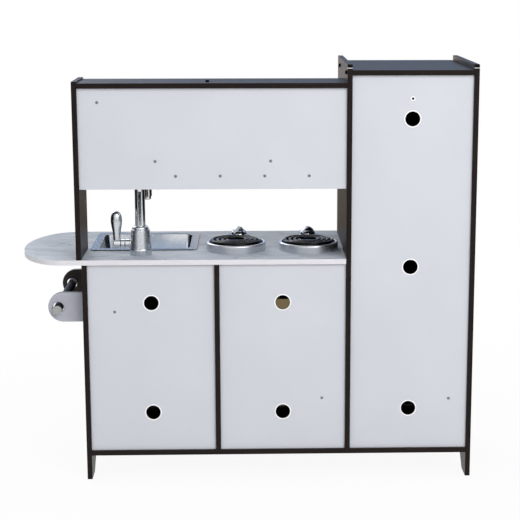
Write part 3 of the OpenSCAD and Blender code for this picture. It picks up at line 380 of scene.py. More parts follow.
def carve(piece, tool):
    """Cuts a tool's shape out of a piece and clears the tool away."""
    lone(piece)
    cut = piece.modifiers.new("cut", "BOOLEAN")
    cut.operation, cut.object, cut.solver = "DIFFERENCE", tool, "EXACT"
    bpy.ops.object.modifier_apply(modifier=cut.name)
    bpy.data.objects.remove(tool)
    return piece


def bar(size, place):
    """A square bar, for seams and for cutting recesses."""
    bpy.ops.object.select_all(action="DESELECT")
    bpy.ops.mesh.primitive_cube_add(size=1, location=place)
    piece = bpy.context.object
    piece.scale = size
    bpy.ops.object.transform_apply(location=True, rotation=True, scale=True)
    return piece


def cross_head(name, radius, height, sink=0.0):
    """A screw's pan head, standing from -sink to height, with a cross recess."""
    head = turned(name, (
        (radius * 0.94, -sink), (radius, height * 0.12), (radius * 0.99, height * 0.4),
        (radius * 0.86, height * 0.75), (radius * 0.6, height * 0.94), (radius * 0.3, height)), 24)
    depth = (height + sink) * 0.6
    arms = [bar((radius * 1.15, radius * 0.24, 2 * depth), (0, 0, height)),
            bar((radius * 0.24, radius * 1.15, 2 * depth), (0, 0, height))]
    for arm in arms:
        carve(head, arm)
    return head


def hex_head(name, radius, height):
    """A bolt's flat head with a six-sided recess."""
    head = turned(name, (
        (radius * 0.9, 0), (radius, height * 0.3), (radius, height - radius * 0.06),
        (radius * 0.93, height)), 32)
    floor, above = height - height * 0.7, height * 2 + 0.1 * MM
    return carve(head, turned("key", ((radius * 0.52, floor), (radius * 0.55, above)), 6))


def trim(piece, choose):
    """Deletes the faces of a piece for which choose(centre, normal) is true."""
    tools = bpy.context.scene.tool_settings
    lone(piece)
    for face in piece.data.polygons:
        face.select = choose(face.center, face.normal)
    tools.mesh_select_mode = (False, False, True)
    bpy.ops.object.mode_set(mode="EDIT")
    bpy.ops.mesh.delete(type="FACE")
    bpy.ops.object.mode_set(mode="OBJECT")
    tools.mesh_select_mode = (True, False, False)
    return piece


def parts_of(node, leave_out=None):
    """Lowest and highest corners of each loose part of a node, once the faces leave_out names are gone."""
    known = set(bpy.data.objects)
    piece = merged_copy(node, "sorted_part")
    if leave_out:
        trim(piece, leave_out)
    edit(piece)
    bpy.ops.mesh.separate(type="LOOSE")
    bpy.ops.object.mode_set(mode="OBJECT")
    boxes = []
    for part in [o for o in bpy.data.objects if o not in known]:
        spots = [v.co for v in part.data.vertices]
        boxes.append(tuple(Vector([pick(s[i] for s in spots) for i in range(3)]) for pick in (min, max)))
        bpy.data.objects.remove(part)
    return sorted(boxes, key=lambda b: [round(v, 5) for v in b[0]])


def paint(piece, choose):
    """Gives each face the material index that choose(centre, normal) returns."""
    for face in piece.data.polygons:
        face.material_index = choose(face.center, face.normal)


def dress(piece, *materials):
    """Puts materials in a piece's slots."""
    piece.data.materials.clear()
    for material in materials:
        piece.data.materials.append(material)
    return piece


def settle(piece, node, *materials, stands=True, like=None):
    """Dresses a piece and makes it ride with a node, which it replaces where it stands for it. Its like
    argument is not used. It takes the record's slot of the node that it is like."""
    dress(piece, *materials)
    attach(piece, body_of(node))
    if stands:
        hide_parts(node)
    return piece


# ---- settings ----

def colour(name, description, code):
    """A colour property whose default is an sRGB hex value."""
    return bpy.props.FloatVectorProperty(name=name, description=description, subtype="COLOR", size=4,
                                         min=0.0, max=1.0, default=linear(code))


def length(name, description, default_mm, low_mm, high_mm):
    """A length property given in millimetres."""
    return bpy.props.FloatProperty(name=name, description=description, unit="LENGTH", default=default_mm * MM,
                                   min=low_mm * MM, max=high_mm * MM)


def fraction(name, description, default):
    """A property from 0 to 1."""
    return bpy.props.FloatProperty(name=name, description=description, subtype="FACTOR", default=default,
                                   min=0.0, max=1.0)


def power(name, description, watts):
    """A lamp's power."""
    return bpy.props.FloatProperty(name=name, description=description, unit="POWER", default=watts)


def spot(name, description, place):
    """A place in the room, in metres."""
    return bpy.props.FloatVectorProperty(name=name, description=description, subtype="TRANSLATION",
                                         unit="LENGTH", default=place)


def angle(name, description, turn):
    """An angle given in degrees."""
    return bpy.props.FloatProperty(name=name, description=description, subtype="ANGLE", unit="ROTATION",
                                   default=radians(turn))


class BoardSettings(bpy.types.PropertyGroup):
    """Boards, panels and doors."""
    easing: length("Board easing", "Radius on the boards' edges", 0.8, 0.2, 2)
    panel_easing: length("Panel easing", "Radius on the back panels' edges", 0.4, 0.1, 1)
    espresso: colour("Espresso", "The lacquer on boards and doors", "#150d0b")
    gleam: fraction("Gleam", "Strength of the lacquer's reflections", 0.16)
    foil: colour("Foil", "The back panels' white foil", "#dadde4")
    # The lips are proud white rings round the vent holes that paint a highlight on each hole's edge.
    lip: length("Lip width", "Width of the pale lip round each vent hole", 2.4, 0.5, 4)
    lip_proud: length("Lip height", "How far a lip stands off its panel", 0.25, 0.1, 0.5)
    lip_highlight_white: colour("Lip", "The white of the vent holes' lips", "#fdfdff")
    # The raw board's tones are darker than bare fibreboard, as painted shade on the walls of the vent bores.
    raw_dark: colour("Raw board, dark", "Darker fibres of raw board", "#3d2f25")
    raw_pale: colour("Raw board, pale", "Paler fibres of raw board", "#5a4636")


class WorktopSettings(bpy.types.PropertyGroup):
    """Worktop."""
    easing: length("Worktop easing", "Radius on the worktop's edges", 1.2, 0.3, 3)
    ground: colour("Marble ground", "Main tone of the marble print", "#b9c0cb")
    cloud: colour("Marble cloud", "Lighter clouds in the marble print", "#ccd2db")
    vein: colour("Marble vein", "Veins and grains in the marble print", "#8d96a5")
    band: colour("Edge band", "The band round the worktop", "#ebe9ef")


class FittingSettings(bpy.types.PropertyGroup):
    """Metal, plastic, windows and small fittings."""
    easing: length("Fitting easing", "Radius on small fittings' edges", 0.4, 0.1, 1)
    strike_radius: length("Strike radius", "Radius of the steel strikes on the doors", 5, 3, 6)
    screw_radius: length("Screw radius", "Radius of the screws behind handles and panes", 3.2, 2, 4)
    proud: length("Proud height", "How far strikes and screws stand off a door", 0.2, 0.1, 0.25)
    screw_sink: length("Screw sink", "How deep those screws' heads sit in the board", 1, 0.5, 2)
    post_inset: length("Post inset", "From a handle's end to the middle of its post", 13.2, 8, 20)
    pane_inset: length("Pane screw inset", "From a window's edges to its screws", 4, 3, 6)
    disc_bed: length("Magnet bed", "How deep each magnet's steel disc sits in its catch", 1, 0.5, 1.5)
    chrome: colour("Chrome", "Plated plastic and bright steel", "#e3e6ea")
    silver: colour("Silver", "Satin plated plastic", "#d4d8dd")
    zinc: colour("Zinc", "Plated screws, pins and strikes", "#a9acb2")
    steel: colour("Screw steel", "The panel screws' dull steel", "#83888e")
    black: colour("Black", "Moulded black parts", "#121214")
    # The corner caps' near-black stands partly for the shade on the fins' rounded rear corners, and the pale
    # seam under each cap is a painted highlight.
    cap_black: colour("Cap black", "Soft black of the corner caps and bolt heads", "#050506")
    pale: colour("Cap seam", "The pale seam under each corner cap", "#d9d6d2")
    seam: length("Seam", "Height of the pale seam", 1.6, 0.5, 3)
    smoke: colour("Smoke", "Bronze tint of the window sheet", "#75674d")


class HobSettings(bpy.types.PropertyGroup):
    """Burners and knobs."""
    pan: colour("Pan", "The burner pans' metal", "#d3d6dc")
    # Inside the ledge each pan's dish takes the coils' black enamel: painted shade and dark reflection under
    # the coil.
    ledge: length("Pan ledge", "Width of the bare metal round each pan's black dish", 6, 3, 10)
    enamel: colour("Enamel", "The coils' black enamel", "#060708")
    enamel_sheen: colour("Enamel sheen", "Tint of the coils' highlights", "#d6dbe0")
    knob: colour("Knob", "The knobs' plating", "#a9aeb6")
    knob_easing: length("Knob easing", "Radius on the knobs' edges", 0.8, 0.2, 1.5)


class SinkSettings(bpy.types.PropertyGroup):
    """Sink and faucet."""
    # The rim, bowl and end walls are one steel in three tones, as painted reflections: the rim darker, the
    # bowl paler and the steep end walls darker still.
    rim: colour("Rim steel", "The sink's polished rim", "#b5b1aa")
    bowl: colour("Bowl steel", "The drawn bowl, brushed paler than its rim", "#e2e4e6")
    end_wall_dark_reflection: colour("End steel", "The bowl's steep end walls, left darker by the press", "#66707d")
    rim_easing: length("Rim easing", "Radius on the sink's edges", 1.0, 0.2, 1.0)
    rim_depth: length("Rim depth", "Height of the rim's steel above the bowl's", 3, 1, 5)
    # The black band round the rim's outer flank is a painted shadow where the rim meets the worktop.
    flank_shadow_width: length("Seal width", "Width of the black seal round the rim's flank", 2, 1, 3)
    groove: length("Stem groove", "Depth of the black groove round the lever's stem", 1.1, 0.5, 2)


class RailSettings(bpy.types.PropertyGroup):
    """Towel holder."""
    easing: length("Bracket easing", "Radius on the brackets' edges", 1.4, 0.3, 3)
    face: colour("Bracket face", "Paint on the brackets' outer faces", "#bec0cc")
    # The inside colour covers the faces towards the roll, which are darker, and the walls of the dowel's
    # holes, where it is painted shade.
    inside: colour("Bracket inside", "Paint on the faces towards the roll", "#35322f")
    hole_shade_reach: length("Hole reach", "Radius round the dowel's middle that takes the inner paint", 16, 14, 20)
    # The dowel is near-black along its length and pale only at its ends.
    dowel: colour("Dowel", "Lacquer on the dowel", "#0a0a0a")
    cap: colour("Dowel end", "Pale plastic of the dowel's ends", "#a4a5a4")
    cap_depth: length("Dowel end depth", "How far the pale plastic wraps the dowel", 1.15, 0.5, 3)


class StageSettings(bpy.types.PropertyGroup):
    """Camera and studio."""
    place: spot("Camera place", "Where the camera stands, behind the kitchen", (-0.0138, 3.5715, 1.208))
    tilt: angle("Tilt", "How far the camera looks down", 11.651)
    pan: angle("Pan", "Turn of the camera from straight ahead", -1.673)
    lens: bpy.props.FloatProperty(name="Lens", description="Focal length in millimetres", unit="CAMERA",
                                  default=100.74)
    shift: bpy.props.FloatVectorProperty(
        name="Lens shift", description="Sideways and upward shift of the lens", size=2,
        default=(-0.0634, 0.021))
    key: power("Key lamp", "Lamp behind the kitchen, in watts", 60)
    key_place: spot("Key lamp place", "Where the key lamp hangs", (-1.4, 2.8, 2.6))
    fill: power("Fill lamp", "Lamp in front of the doors, in watts", 55)
    fill_place: spot("Fill lamp place", "Where the fill lamp hangs", (1.6, -2.8, 2.2))
    aim: spot("Aim", "What both lamps point at", (0, 0, 0.5))
    lamp_size: length("Lamp size", "Side of each lamp's square", 2200, 500, 4000)
    floor_size: length("Floor size", "Side of the floor", 14000, 6000, 30000)
    ambient: fraction("Ambient", "Level of the light from all round", 0.55)


def board(s, along):
    """Lacquered board whose grain runs along an axis."""
    return once(lacquered_board, "lacquered_board_" + "xyz"[along], s.espresso, along, s.gleam)


def raw_board(s):
    """Raw board where a panel or the worktop is cut, its tones darkened as painted shade in the bores."""
    return once(raw_hardboard, "raw_hardboard", s.raw_dark, s.raw_pale)


def grain_axis(node):
    """The axis along which a node is longest."""
    low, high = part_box(node)
    return max(range(3), key=lambda i: high[i] - low[i])


# ---- pieces ----

class ToyKitchenCarcass(bpy.types.Operator):
    """Boards of the fridge column, the cabinet and the raised unit"""
    bl_idname = "toy_kitchen.carcass"
    bl_label = "Carcass boards"

    def execute(self, context):
        s = context.scene.toy_kitchen_boards
        for node in CARCASS:
            settle(eased_copy(node, s.easing), node, board(s, grain_axis(node)))
        return {"FINISHED"}


class ToyKitchenWorktop(bpy.types.Operator):
    """Worktop: marble foil, white edge band and raw board in the sink's opening"""
    bl_idname = "toy_kitchen.worktop"
    bl_label = "Worktop"

    def execute(self, context):
        s, boards = context.scene.toy_kitchen_worktop, context.scene.toy_kitchen_boards
        piece = eased_copy("counter_top", s.easing, 3)
        settle(piece, "counter_top", once(marble_foil, "marble_foil", s.ground, s.cloud, s.vein),
               once(edge_band, "edge_band", s.band), raw_board(boards))
        low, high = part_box("sink_basin")

        def part(centre, normal):
            if normal.z > LEVEL:
                return 0
            opening = low.x < centre.x < high.x and low.y < centre.y < high.y
            return 2 if opening or normal.z < -LEVEL else 1
        paint(piece, part)
        return {"FINISHED"}


class ToyKitchenBacks(bpy.types.Operator):
    """Back panels with pale lips round their vent holes, white rings that paint a highlight on each hole's
    edge
    """
    bl_idname = "toy_kitchen.backs"
    bl_label = "Back panels"

    def execute(self, context):
        s = context.scene.toy_kitchen_boards
        for node in BACKS:
            piece = eased_copy(node, s.panel_easing)
            settle(piece, node, once(melamine_foil, "melamine_foil", s.foil), raw_board(s))
            paint(piece, lambda centre, normal: 1 if abs(normal.y) < 0.3 else 0)
            low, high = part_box(node)
            inset = 5 * MM  # a panel's edge faces lie nearer its outline than this, its bores further in

            def not_bore(centre, normal):
                return abs(normal.y) > 0.5 or not (low.x + inset < centre.x < high.x - inset
                                                   and low.z + inset < centre.z < high.z - inset)
            highlight_lips = []
            for start, end in parts_of(node, not_bore) if node != "upper_back_panel" else ():
                mid, r = (start + end) / 2, (end.x - start.x) / 2
                lip = turned("lip", ((r + s.lip, -s.lip_proud), (r + s.lip, s.lip_proud * 0.4),
                                     (r + s.lip * 0.8, s.lip_proud)), 72)
                carve(lip, turned("bore", ((r, -2 * s.lip_proud), (r, 2 * s.lip_proud)), 72))
                highlight_lips.append(lay(lip, (mid.x, high.y, mid.z), REAR))
            # Each lip's white is a painted highlight round its hole.
            if highlight_lips:
                settle(ease(joined(highlight_lips, node + "_lips"), 0), node, plastic("lip_highlight", s.lip_highlight_white),
                       stands=False)
        return {"FINISHED"}


class ToyKitchenDoors(bpy.types.Operator):
    """Six door leaves, with the magnet strikes and handle screws on their inner faces"""
    bl_idname = "toy_kitchen.doors"
    bl_label = "Doors"

    def execute(self, context):
        s, f = context.scene.toy_kitchen_boards, context.scene.toy_kitchen_fittings
        zinc = metal("zinc_plate", f.zinc)
        strike = turned("strike", ((f.strike_radius, -f.proud), (f.strike_radius, f.proud * 0.5),
                                   (f.strike_radius * 0.94, f.proud), (f.strike_radius * 0.3, f.proud),
                                   (f.strike_radius * 0.2, f.proud * 0.4)), 40)
        screw = cross_head("handle_screw", f.screw_radius, f.proud, f.screw_sink)
        catches = parts_of("door_magnets")
        for name in DOORS:
            node = name + "_door"
            settle(eased_copy(node, s.easing), node, board(s, grain_axis(node)))
            low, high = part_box(node)
            fixings, reach = [], 30 * MM
            for start, end in catches:
                mid = (start + end) / 2
                if low.x < mid.x < high.x and low.z < mid.z < high.z and high.y < mid.y < high.y + reach:
                    fixings.append(lay(twin(strike, "strike"), (mid.x, high.y, mid.z), REAR))
            grip_low, grip_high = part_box(name + "_handle")
            mid, long = (grip_low + grip_high) / 2, grain_axis(name + "_handle")
            for end, way in ((grip_low, 1), (grip_high, -1)):
                place = Vector((mid.x, high.y, mid.z))
                place[long] = end[long] + way * f.post_inset
                fixings.append(lay(twin(screw, "screw"), place, REAR))
            settle(ease(joined(fixings, node + "_fixings"), 0), node, zinc, stands=False,
                   like="door_pivot_pins")
        for tool in (strike, screw):
            bpy.data.objects.remove(tool)
        return {"FINISHED"}


class ToyKitchenWindows(bpy.types.Operator):
    """Oven and microwave panes with the screws that hold them"""
    bl_idname = "toy_kitchen.windows"
    bl_label = "Windows"

    def execute(self, context):
        f = context.scene.toy_kitchen_fittings
        acrylic = once(clear_acrylic, "clear_acrylic", f.smoke)
        zinc = metal("zinc_plate", f.zinc)
        screw = cross_head("pane_screw", f.screw_radius * 0.8, f.proud, f.screw_sink)
        inset = f.pane_inset
        for node in ("oven_window", "microwave_window"):
            settle(eased_copy(node, f.easing * 0.5), node, acrylic)
            low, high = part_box(node)
            heads = [lay(twin(screw, "screw"), (x, high.y, z), REAR)
                     for x in (low.x + inset, high.x - inset) for z in (low.z + inset, high.z - inset)]
            settle(ease(joined(heads, node + "_screws"), 0), node, zinc, stands=False,
                   like="door_pivot_pins")
        bpy.data.objects.remove(screw)
        return {"FINISHED"}


class ToyKitchenHandles(bpy.types.Operator):
    """Bar handles on their posts"""
    bl_idname = "toy_kitchen.handles"
    bl_label = "Handles"

    def execute(self, context):
        f = context.scene.toy_kitchen_fittings
        for name in DOORS:
            node = name + "_handle"
            settle(eased_copy(node, f.easing * 0.5, 2, 50), node, metal("plated_chrome", f.chrome))
        return {"FINISHED"}


class ToyKitchenFittings(bpy.types.Operator):
    """Pivot pins, hooks, catches, screws, bolts and corner caps"""
    bl_idname = "toy_kitchen.fittings"
    bl_label = "Small fittings"
    DISC = ((2.85, 0), (2.85, 0.7), (2.6, 0.9))  # a magnet's steel disc, radius and height in mm

    def execute(self, context):
        f = context.scene.toy_kitchen_fittings
        zinc = metal("zinc_plate", f.zinc)
        silver = metal("satin_plate", f.silver)
        black = plastic("black_abs", f.black)
        settle(eased_copy("door_pivot_pins", f.easing, 2, 50), "door_pivot_pins", zinc)
        settle(eased_copy("wall_hooks", f.easing * 0.6, 2, 50), "wall_hooks", silver)
        # The caps' black is partly painted shade, and the pale seams below them are painted highlights.
        rubber = plastic("cap_black", f.cap_black)
        settle(eased_copy("corner_caps", f.easing * 2, 3, 50), "corner_caps", rubber)
        highlight_seams, wider, back = [], 0.3 * MM, 0.1 * MM
        for low, high in parts_of("corner_caps"):
            size, mid = high - low, (low + high) / 2
            highlight_seams.append(bar((size.x + wider, size.y + wider, f.seam),
                             (mid.x, mid.y + back, low.z + f.seam / 2)))
        settle(ease(joined(highlight_seams, "cap_seams"), 0), "corner_caps", plastic("seam_highlight", f.pale), stands=False)

        settle(eased_copy("door_magnets", f.easing, 2, 50), "door_magnets", black)
        discs = []
        for low, high in parts_of("door_magnets"):
            mid = (low + high) / 2
            disc = turned("magnet", [(wide * MM, rise * MM) for wide, rise in self.DISC], 32)
            discs.append(lay(disc, (mid.x, low.y + f.disc_bed, mid.z), -REAR))
        settle(ease(joined(discs, "magnet_discs"), 0), "door_magnets", zinc, stands=False)

        steel = metal("screw_steel", f.steel)
        for node, head, finish in (("panel_screws", cross_head, steel), ("side_bolts", hex_head, rubber)):
            heads = []
            for low, high in parts_of(node):
                size, mid = high - low, (low + high) / 2
                thin = min(range(3), key=lambda i: size[i])
                axis = Vector((0, 0, 0))
                axis[thin] = -1 if node == "panel_screws" and thin == 0 else 1
                base = mid - axis * size[thin] / 2
                heads.append(lay(head("head", max(size) / 2, size[thin]), base, axis))
            settle(ease(joined(heads, node + "_turned"), 0), node, finish)
        return {"FINISHED"}


class ToyKitchenHob(bpy.types.Operator):
    """Burner pans, coils, knobs and their pivots"""
    bl_idname = "toy_kitchen.hob"
    bl_label = "Hob"

    def execute(self, context):
        s, f = context.scene.toy_kitchen_hob, context.scene.toy_kitchen_fittings
        for side in ("left", "right"):
            node = side + "_burner_pan"
            piece = eased_copy(node, f.easing * 0.75, 2, 50)
            enamel = once(black_enamel, "black_enamel", s.enamel, s.enamel_sheen)
            settle(piece, node, metal("pressed_steel", s.pan), enamel)
            low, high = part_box(node)
            # The dish inside the ledge is painted black as shade and dark reflection under the coil.
            mid, dish = (low + high) / 2, (high.x - low.x) / 2 - s.ledge
            paint(piece, lambda centre, normal: 1 if (centre - mid).xy.length < dish else 0)
            node = side + "_burner_coil"
            settle(eased_copy(node, f.easing * 0.75, 2, 50), node, enamel)
            node = side + "_knob"
            settle(eased_copy(node, s.knob_easing, 3, 30), node, metal("plated_knob", s.knob))
        settle(eased_copy("knob_pivots", f.easing, 2, 50), "knob_pivots", metal("zinc_plate", f.zinc))
        return {"FINISHED"}


class ToyKitchenSink(bpy.types.Operator):
    """Drawn sink with its strainer"""
    bl_idname = "toy_kitchen.sink"
    bl_label = "Sink"

    def execute(self, context):
        s, f = context.scene.toy_kitchen_sink, context.scene.toy_kitchen_fittings
        piece = eased_copy("sink_basin", s.rim_easing, 4)
        settle(piece, "sink_basin", metal("rim_steel_painted_dark", s.rim), metal("bowl_steel_painted_pale", s.bowl),
               metal("shaded_steel", s.end_wall_dark_reflection), plastic("rim_flank_shadow", f.cap_black))
        low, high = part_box("sink_basin")
        mid, half = (low + high) / 2, (high - low) / 2

        # Index 0 is the rim's darker painted reflection, 1 the bowl's paler one, 2 the end walls' dark
        # painted reflection.
        def part(centre, normal):
            if centre.z < high.z - s.rim_depth:
                return 2 if abs(normal.x) > 0.55 else 1
            edge = min(half.x - abs(centre.x - mid.x), half.y - abs(centre.y - mid.y))
            # Flank faces near the rim's outline take the black of the painted shadow.
            return 3 if normal.z < LEVEL and edge < s.flank_shadow_width else 0
        paint(piece, part)
        settle(eased_copy("sink_strainer", f.easing * 0.5), "sink_strainer", metal("plated_chrome", f.chrome))
        return {"FINISHED"}


class ToyKitchenFaucet(bpy.types.Operator):
    """Faucet: base, nut, spout, nozzle, stem and lever"""
    bl_idname = "toy_kitchen.faucet"
    bl_label = "Faucet"

    def execute(self, context):
        s, f = context.scene.toy_kitchen_sink, context.scene.toy_kitchen_fittings
        silver = metal("satin_plate", f.silver)
        chrome = metal("plated_chrome", f.chrome)
        black = plastic("black_abs", f.black)
        for node in ("faucet_base", "lever_stem", "lever_handle"):
            piece = eased_copy(node, f.easing, 2, 40)
            settle(piece, node, chrome if node == "lever_stem" else silver, black)
            if node == "lever_stem":
                low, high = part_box(node)
                mid, waist = (low + high) / 2, (high.z - low.z) / 2 - s.groove
                paint(piece, lambda centre, normal: 1 if (
                    (centre - mid).yz.length < waist and abs(normal.x) < 0.5) else 0)
        for node in ("faucet_spout", "spout_nozzle"):
            settle(eased_copy(node, f.easing, 2, 50), node, chrome)
        settle(eased_copy("faucet_nut", f.easing * 1.5, 2, 50), "faucet_nut", black)
        return {"FINISHED"}


class ToyKitchenRail(bpy.types.Operator):
    """Towel holder: two brackets and the dowel with its pale ends"""
    bl_idname = "toy_kitchen.rail"
    bl_label = "Towel holder"
    # the dowel's end from its middle out: share of the radius, and depth in mm
    END = ((0.28, 0.9), (0.28, 0.2), (0.46, 0.0), (0.5, 0.9), (0.7, 0.9), (0.74, 0.1), (0.9, 0.1), (1, 1.2))

    def execute(self, context):
        s = context.scene.toy_kitchen_rail
        face = once(painted_board, "bracket_paint", s.face)
        inside = once(painted_board, "bracket_inside", s.inside)
        for node, away in (("towel_rear_bracket", 1), ("towel_front_bracket", -1)):
            piece = eased_copy(node, s.easing, 3)
            settle(piece, node, face, inside)
            axis = (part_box("towel_dowel")[0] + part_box("towel_dowel")[1]) / 2
            # Faces towards the roll are darker, and the hole walls within the reach are painted shade.
            paint(piece, lambda centre, normal: 1 if normal.y * away < -0.8 or (
                abs(normal.y) < 0.5 and (centre - axis).xz.length < s.hole_shade_reach) else 0)
        low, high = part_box("towel_dowel")
        mid, radius, long = (low + high) / 2, (high.x - low.x) / 2, high.y - low.y
        end = [(wide * radius, depth * MM) for wide, depth in self.END]
        outline = end + [(wide, long - depth) for wide, depth in reversed(end)]
        piece = lay(turned("towel_dowel_turned", outline, 48), (mid.x, low.y, mid.z), REAR)
        settle(ease(piece, 0), "towel_dowel", once(painted_board, "dowel_black", s.dowel),
               plastic("dowel_end", s.cap))
        front, rear = low.y + s.cap_depth, high.y - s.cap_depth
        paint(piece, lambda centre, normal: 0 if front < centre.y < rear else 1)
        return {"FINISHED"}


class ToyKitchenStage(bpy.types.Operator):
    """Floor, lights and camera, with the cards and mats that paint reflections"""
    bl_idname = "toy_kitchen.stage"
    bl_label = "Stage"
    # painted reflections, dark mats: name, inner and outer radius in metres, stretches kept in degrees from
    # the rear, clockwise, and tone
    RINGS = (
        ("near_mats", 2.4, 3.5, ((-180, -75), (75, 180)), "#1c2026"),
        ("far_mats", 3.5, 6.4, ((-180, -70), (-40, 37), (80, 180)), "#0c0c0c"),
    )
    # painted reflections, glowing cards: name, width and height, place, the way it faces, tone and glow
    CARDS = (
        ("front_card_low", (9, 0.42), (0, -3.0, 0.21), (0, 1, 0), "#a39480", 1.0),
        ("front_card_middle", (0.6, 0.5), (-0.05, -2.98, 0.7), (0, 1, 0), "#f5dcb8", 2.4),
        ("front_card_high", (9, 2.0), (0, -3.0, 1.42), (0, 1, 0), "#9ab5dc", 1.0),
        ("side_card_left", (4.4, 2.2), (3.2, -0.8, 1.1), (-1, 0, 0), "#1c2028", 1.0),
        ("side_card_right", (4.4, 2.2), (-3.2, -0.8, 1.1), (1, 0, 0), "#1c2028", 1.0),
        ("half_card_left", (2.6, 2.0), (3.2, 2.7, 1.0), (-1, 0, 0), "#6d747f", 1.0),
        ("half_card_right", (2.6, 2.0), (-3.2, 2.7, 1.0), (1, 0, 0), "#6d747f", 1.0),
    )

    def execute(self, context):
        s = context.scene.toy_kitchen_stage
        context.scene.view_settings.view_transform = "Standard"
        bpy.ops.object.select_all(action="DESELECT")
        bpy.ops.mesh.primitive_plane_add(size=s.floor_size, location=(0, 0, 0))
        floor = context.object
        floor.name = "floor"
        floor.data.materials.append(once(self.painted_floor, "painted_floor"))
        low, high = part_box("faucet_base")
        middle = (low + high) / 2
        for name, inner, outer, kept, tone in self.RINGS:
            self.ring(name, middle, inner, outer, kept, tone)
        for name, (wide, tall), place, axis, tone, glow in self.CARDS:
            bpy.ops.object.select_all(action="DESELECT")
            bpy.ops.mesh.primitive_plane_add(size=1, location=(0, 0, 0))
            card = context.object
            card.name = name
            card.scale = (wide, tall, 1) if axis[1] else (tall, wide, 1)
            self.flag(dress(lay(card, place, axis), once(self.reflection_glow, name + "_reflection_card", linear(tone), glow)))

        world = bpy.data.worlds.new("studio")
        context.scene.world = world
        world.use_nodes = True
        tree = world.node_tree
        tree.nodes.clear()
        level = spread(tree, self.seen(tree, "Is Transmission Ray"), 0.0, 1.0, s.ambient, 1.0)
        sky = add(tree, "ShaderNodeBackground", None, {"Color": (1, 1, 1, 1), "Strength": level})
        add(tree, "ShaderNodeOutputWorld", None, {"Surface": sky})

        for name, place, watts in (("key_lamp", s.key_place, s.key), ("fill_lamp", s.fill_place, s.fill)):
            lamp = bpy.data.lights.new(name, "AREA")
            lamp.energy, lamp.size = watts, s.lamp_size
            holder = bpy.data.objects.new(name, lamp)
            context.collection.objects.link(holder)
            holder.location = place
            holder.rotation_euler = (Vector(s.aim) - Vector(place)).to_track_quat("-Z", "Y").to_euler()

        view = bpy.data.cameras.new("camera")
        view.lens, view.sensor_width = s.lens, 36
        view.shift_x, view.shift_y = s.shift
        holder = bpy.data.objects.new("camera", view)
        context.collection.objects.link(holder)
        holder.location = s.place
        holder.rotation_euler = (pi / 2 - s.tilt, 0, pi + s.pan)
        context.scene.camera = holder
        return {"FINISHED"}

    @staticmethod
    def seen(tree, *more):
        """1 where a camera or glossy ray, or one of the named rays, looks."""
        rays = add(tree, "ShaderNodeLightPath")
        value = rays.outputs["Is Camera Ray"]
        for name in ("Is Glossy Ray", *more):
            value = add(tree, "ShaderNodeMath", {"operation": "MAXIMUM"}, {0: value, 1: rays.outputs[name]})
        return value

    @classmethod
    def painted_floor(cls, tree):
        """Matt white paint. Seen straight on it runs out to clear white between near and far, in metres from
        the kitchen's middle, so no horizon shows."""
        near, far, shown = 0.6, 1.8, 0.93
        grain = mottle(tree, 4, detail=2.0)
        away = add(tree, "ShaderNodeVectorMath", {"operation": "LENGTH"}, {
            0: add(tree, "ShaderNodeTexCoord").outputs["Object"]})
        clear = spread(tree, away.outputs["Value"], near, far, shown, 1.0)
        clear = add(tree, "ShaderNodeMath", {"operation": "MULTIPLY"}, {0: cls.seen(tree), 1: clear})
        white = add(tree, "ShaderNodeBsdfDiffuse", None, {
            "Color": blend(tree, spread(tree, grain, 0.3, 0.7), linear("#f0f0f0"), linear("#f4f4f4"))})
        glow = add(tree, "ShaderNodeEmission", None, {"Color": (1, 1, 1, 1), "Strength": 1.0})
        mix = add(tree, "ShaderNodeMixShader", None, {0: clear, 1: white, 2: glow})
        add(tree, "ShaderNodeOutputMaterial", None, {"Surface": mix})

    @classmethod
    def ring(cls, name, middle, inner, outer, kept, tone):
        """A ring of mats on the floor round a point, left only in the stretches kept."""
        lift = 2 * MM
        mat = lay(turned(name, ((inner, lift), (outer, lift)), 72), (middle.x, middle.y, 0))

        def spare(centre, normal):
            way = centre - middle
            turn = degrees(atan2(-way.x, way.y))
            return way.xy.length < inner * 0.9 or not any(start <= turn <= end for start, end in kept)
        trim(mat, spare)
        cls.flag(dress(mat, once(cls.reflection_glow, name + "_felt", linear(tone))))

    @staticmethod
    def flag(piece):
        """Keeps a studio card out of every view but reflections."""
        piece.visible_camera = piece.visible_diffuse = False
        piece.visible_shadow = piece.visible_transmission = False

    @staticmethod
    def reflection_glow(tree, tone, glow=1.0):
        """Emission on cards and mats, seen only in glossy surfaces: painted reflections in the tones of a
        furnished room.
        """
        fibre = mottle(tree, 3, detail=3.0)
        surface(tree, Base_Color=linear("#000000"), Roughness=1.0, Specular_IOR_Level=0.0,
                Emission_Color=blend(tree, fibre, toned(tone, 0.9), tone), Emission_Strength=glow)


OPERATORS = (
    ToyKitchenCarcass, ToyKitchenWorktop, ToyKitchenBacks, ToyKitchenDoors, ToyKitchenWindows,
    ToyKitchenHandles, ToyKitchenFittings, ToyKitchenHob, ToyKitchenSink, ToyKitchenFaucet, ToyKitchenRail,
    ToyKitchenStage,
)
SETTINGS = {
    "boards": BoardSettings, "worktop": WorktopSettings, "fittings": FittingSettings, "hob": HobSettings,
    "sink": SinkSettings, "rail": RailSettings, "stage": StageSettings,
}


class ToyKitchenPanel(bpy.types.Panel):
    """Lists the kitchen's steps"""
    bl_idname = "VIEW3D_PT_toy_kitchen"
    bl_label = "Toy Kitchen"
    bl_space_type = "VIEW_3D"
    bl_region_type = "UI"
    bl_category = "Toy Kitchen"

    def draw(self, context):
        for step in OPERATORS:
            self.layout.operator(step.bl_idname)


CLASSES = (*SETTINGS.values(), *OPERATORS, ToyKitchenPanel)


def register():
    for cls in CLASSES:
        bpy.utils.register_class(cls)
    for name, group in SETTINGS.items():
        setattr(bpy.types.Scene, "toy_kitchen_" + name, bpy.props.PointerProperty(type=group))


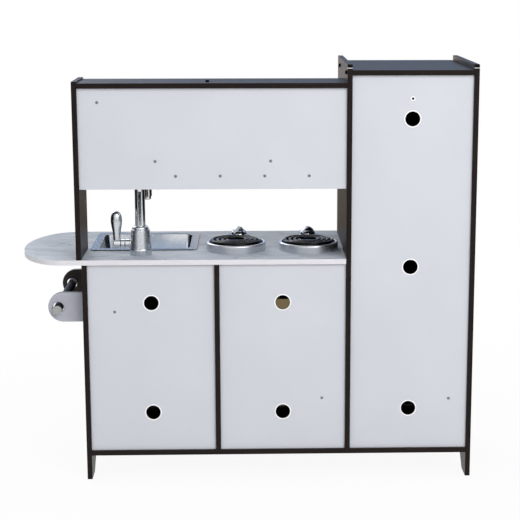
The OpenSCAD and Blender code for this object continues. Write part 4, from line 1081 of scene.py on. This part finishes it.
def unregister():
    for name in SETTINGS:
        delattr(bpy.types.Scene, "toy_kitchen_" + name)
    for cls in reversed(CLASSES):
        bpy.utils.unregister_class(cls)


def main():
    """Builds the whole kitchen."""
    register()
    for step in OPERATORS:
        group, action = step.bl_idname.split(".")
        getattr(getattr(bpy.ops, group), action)()


if __name__ == "__main__":
    main()
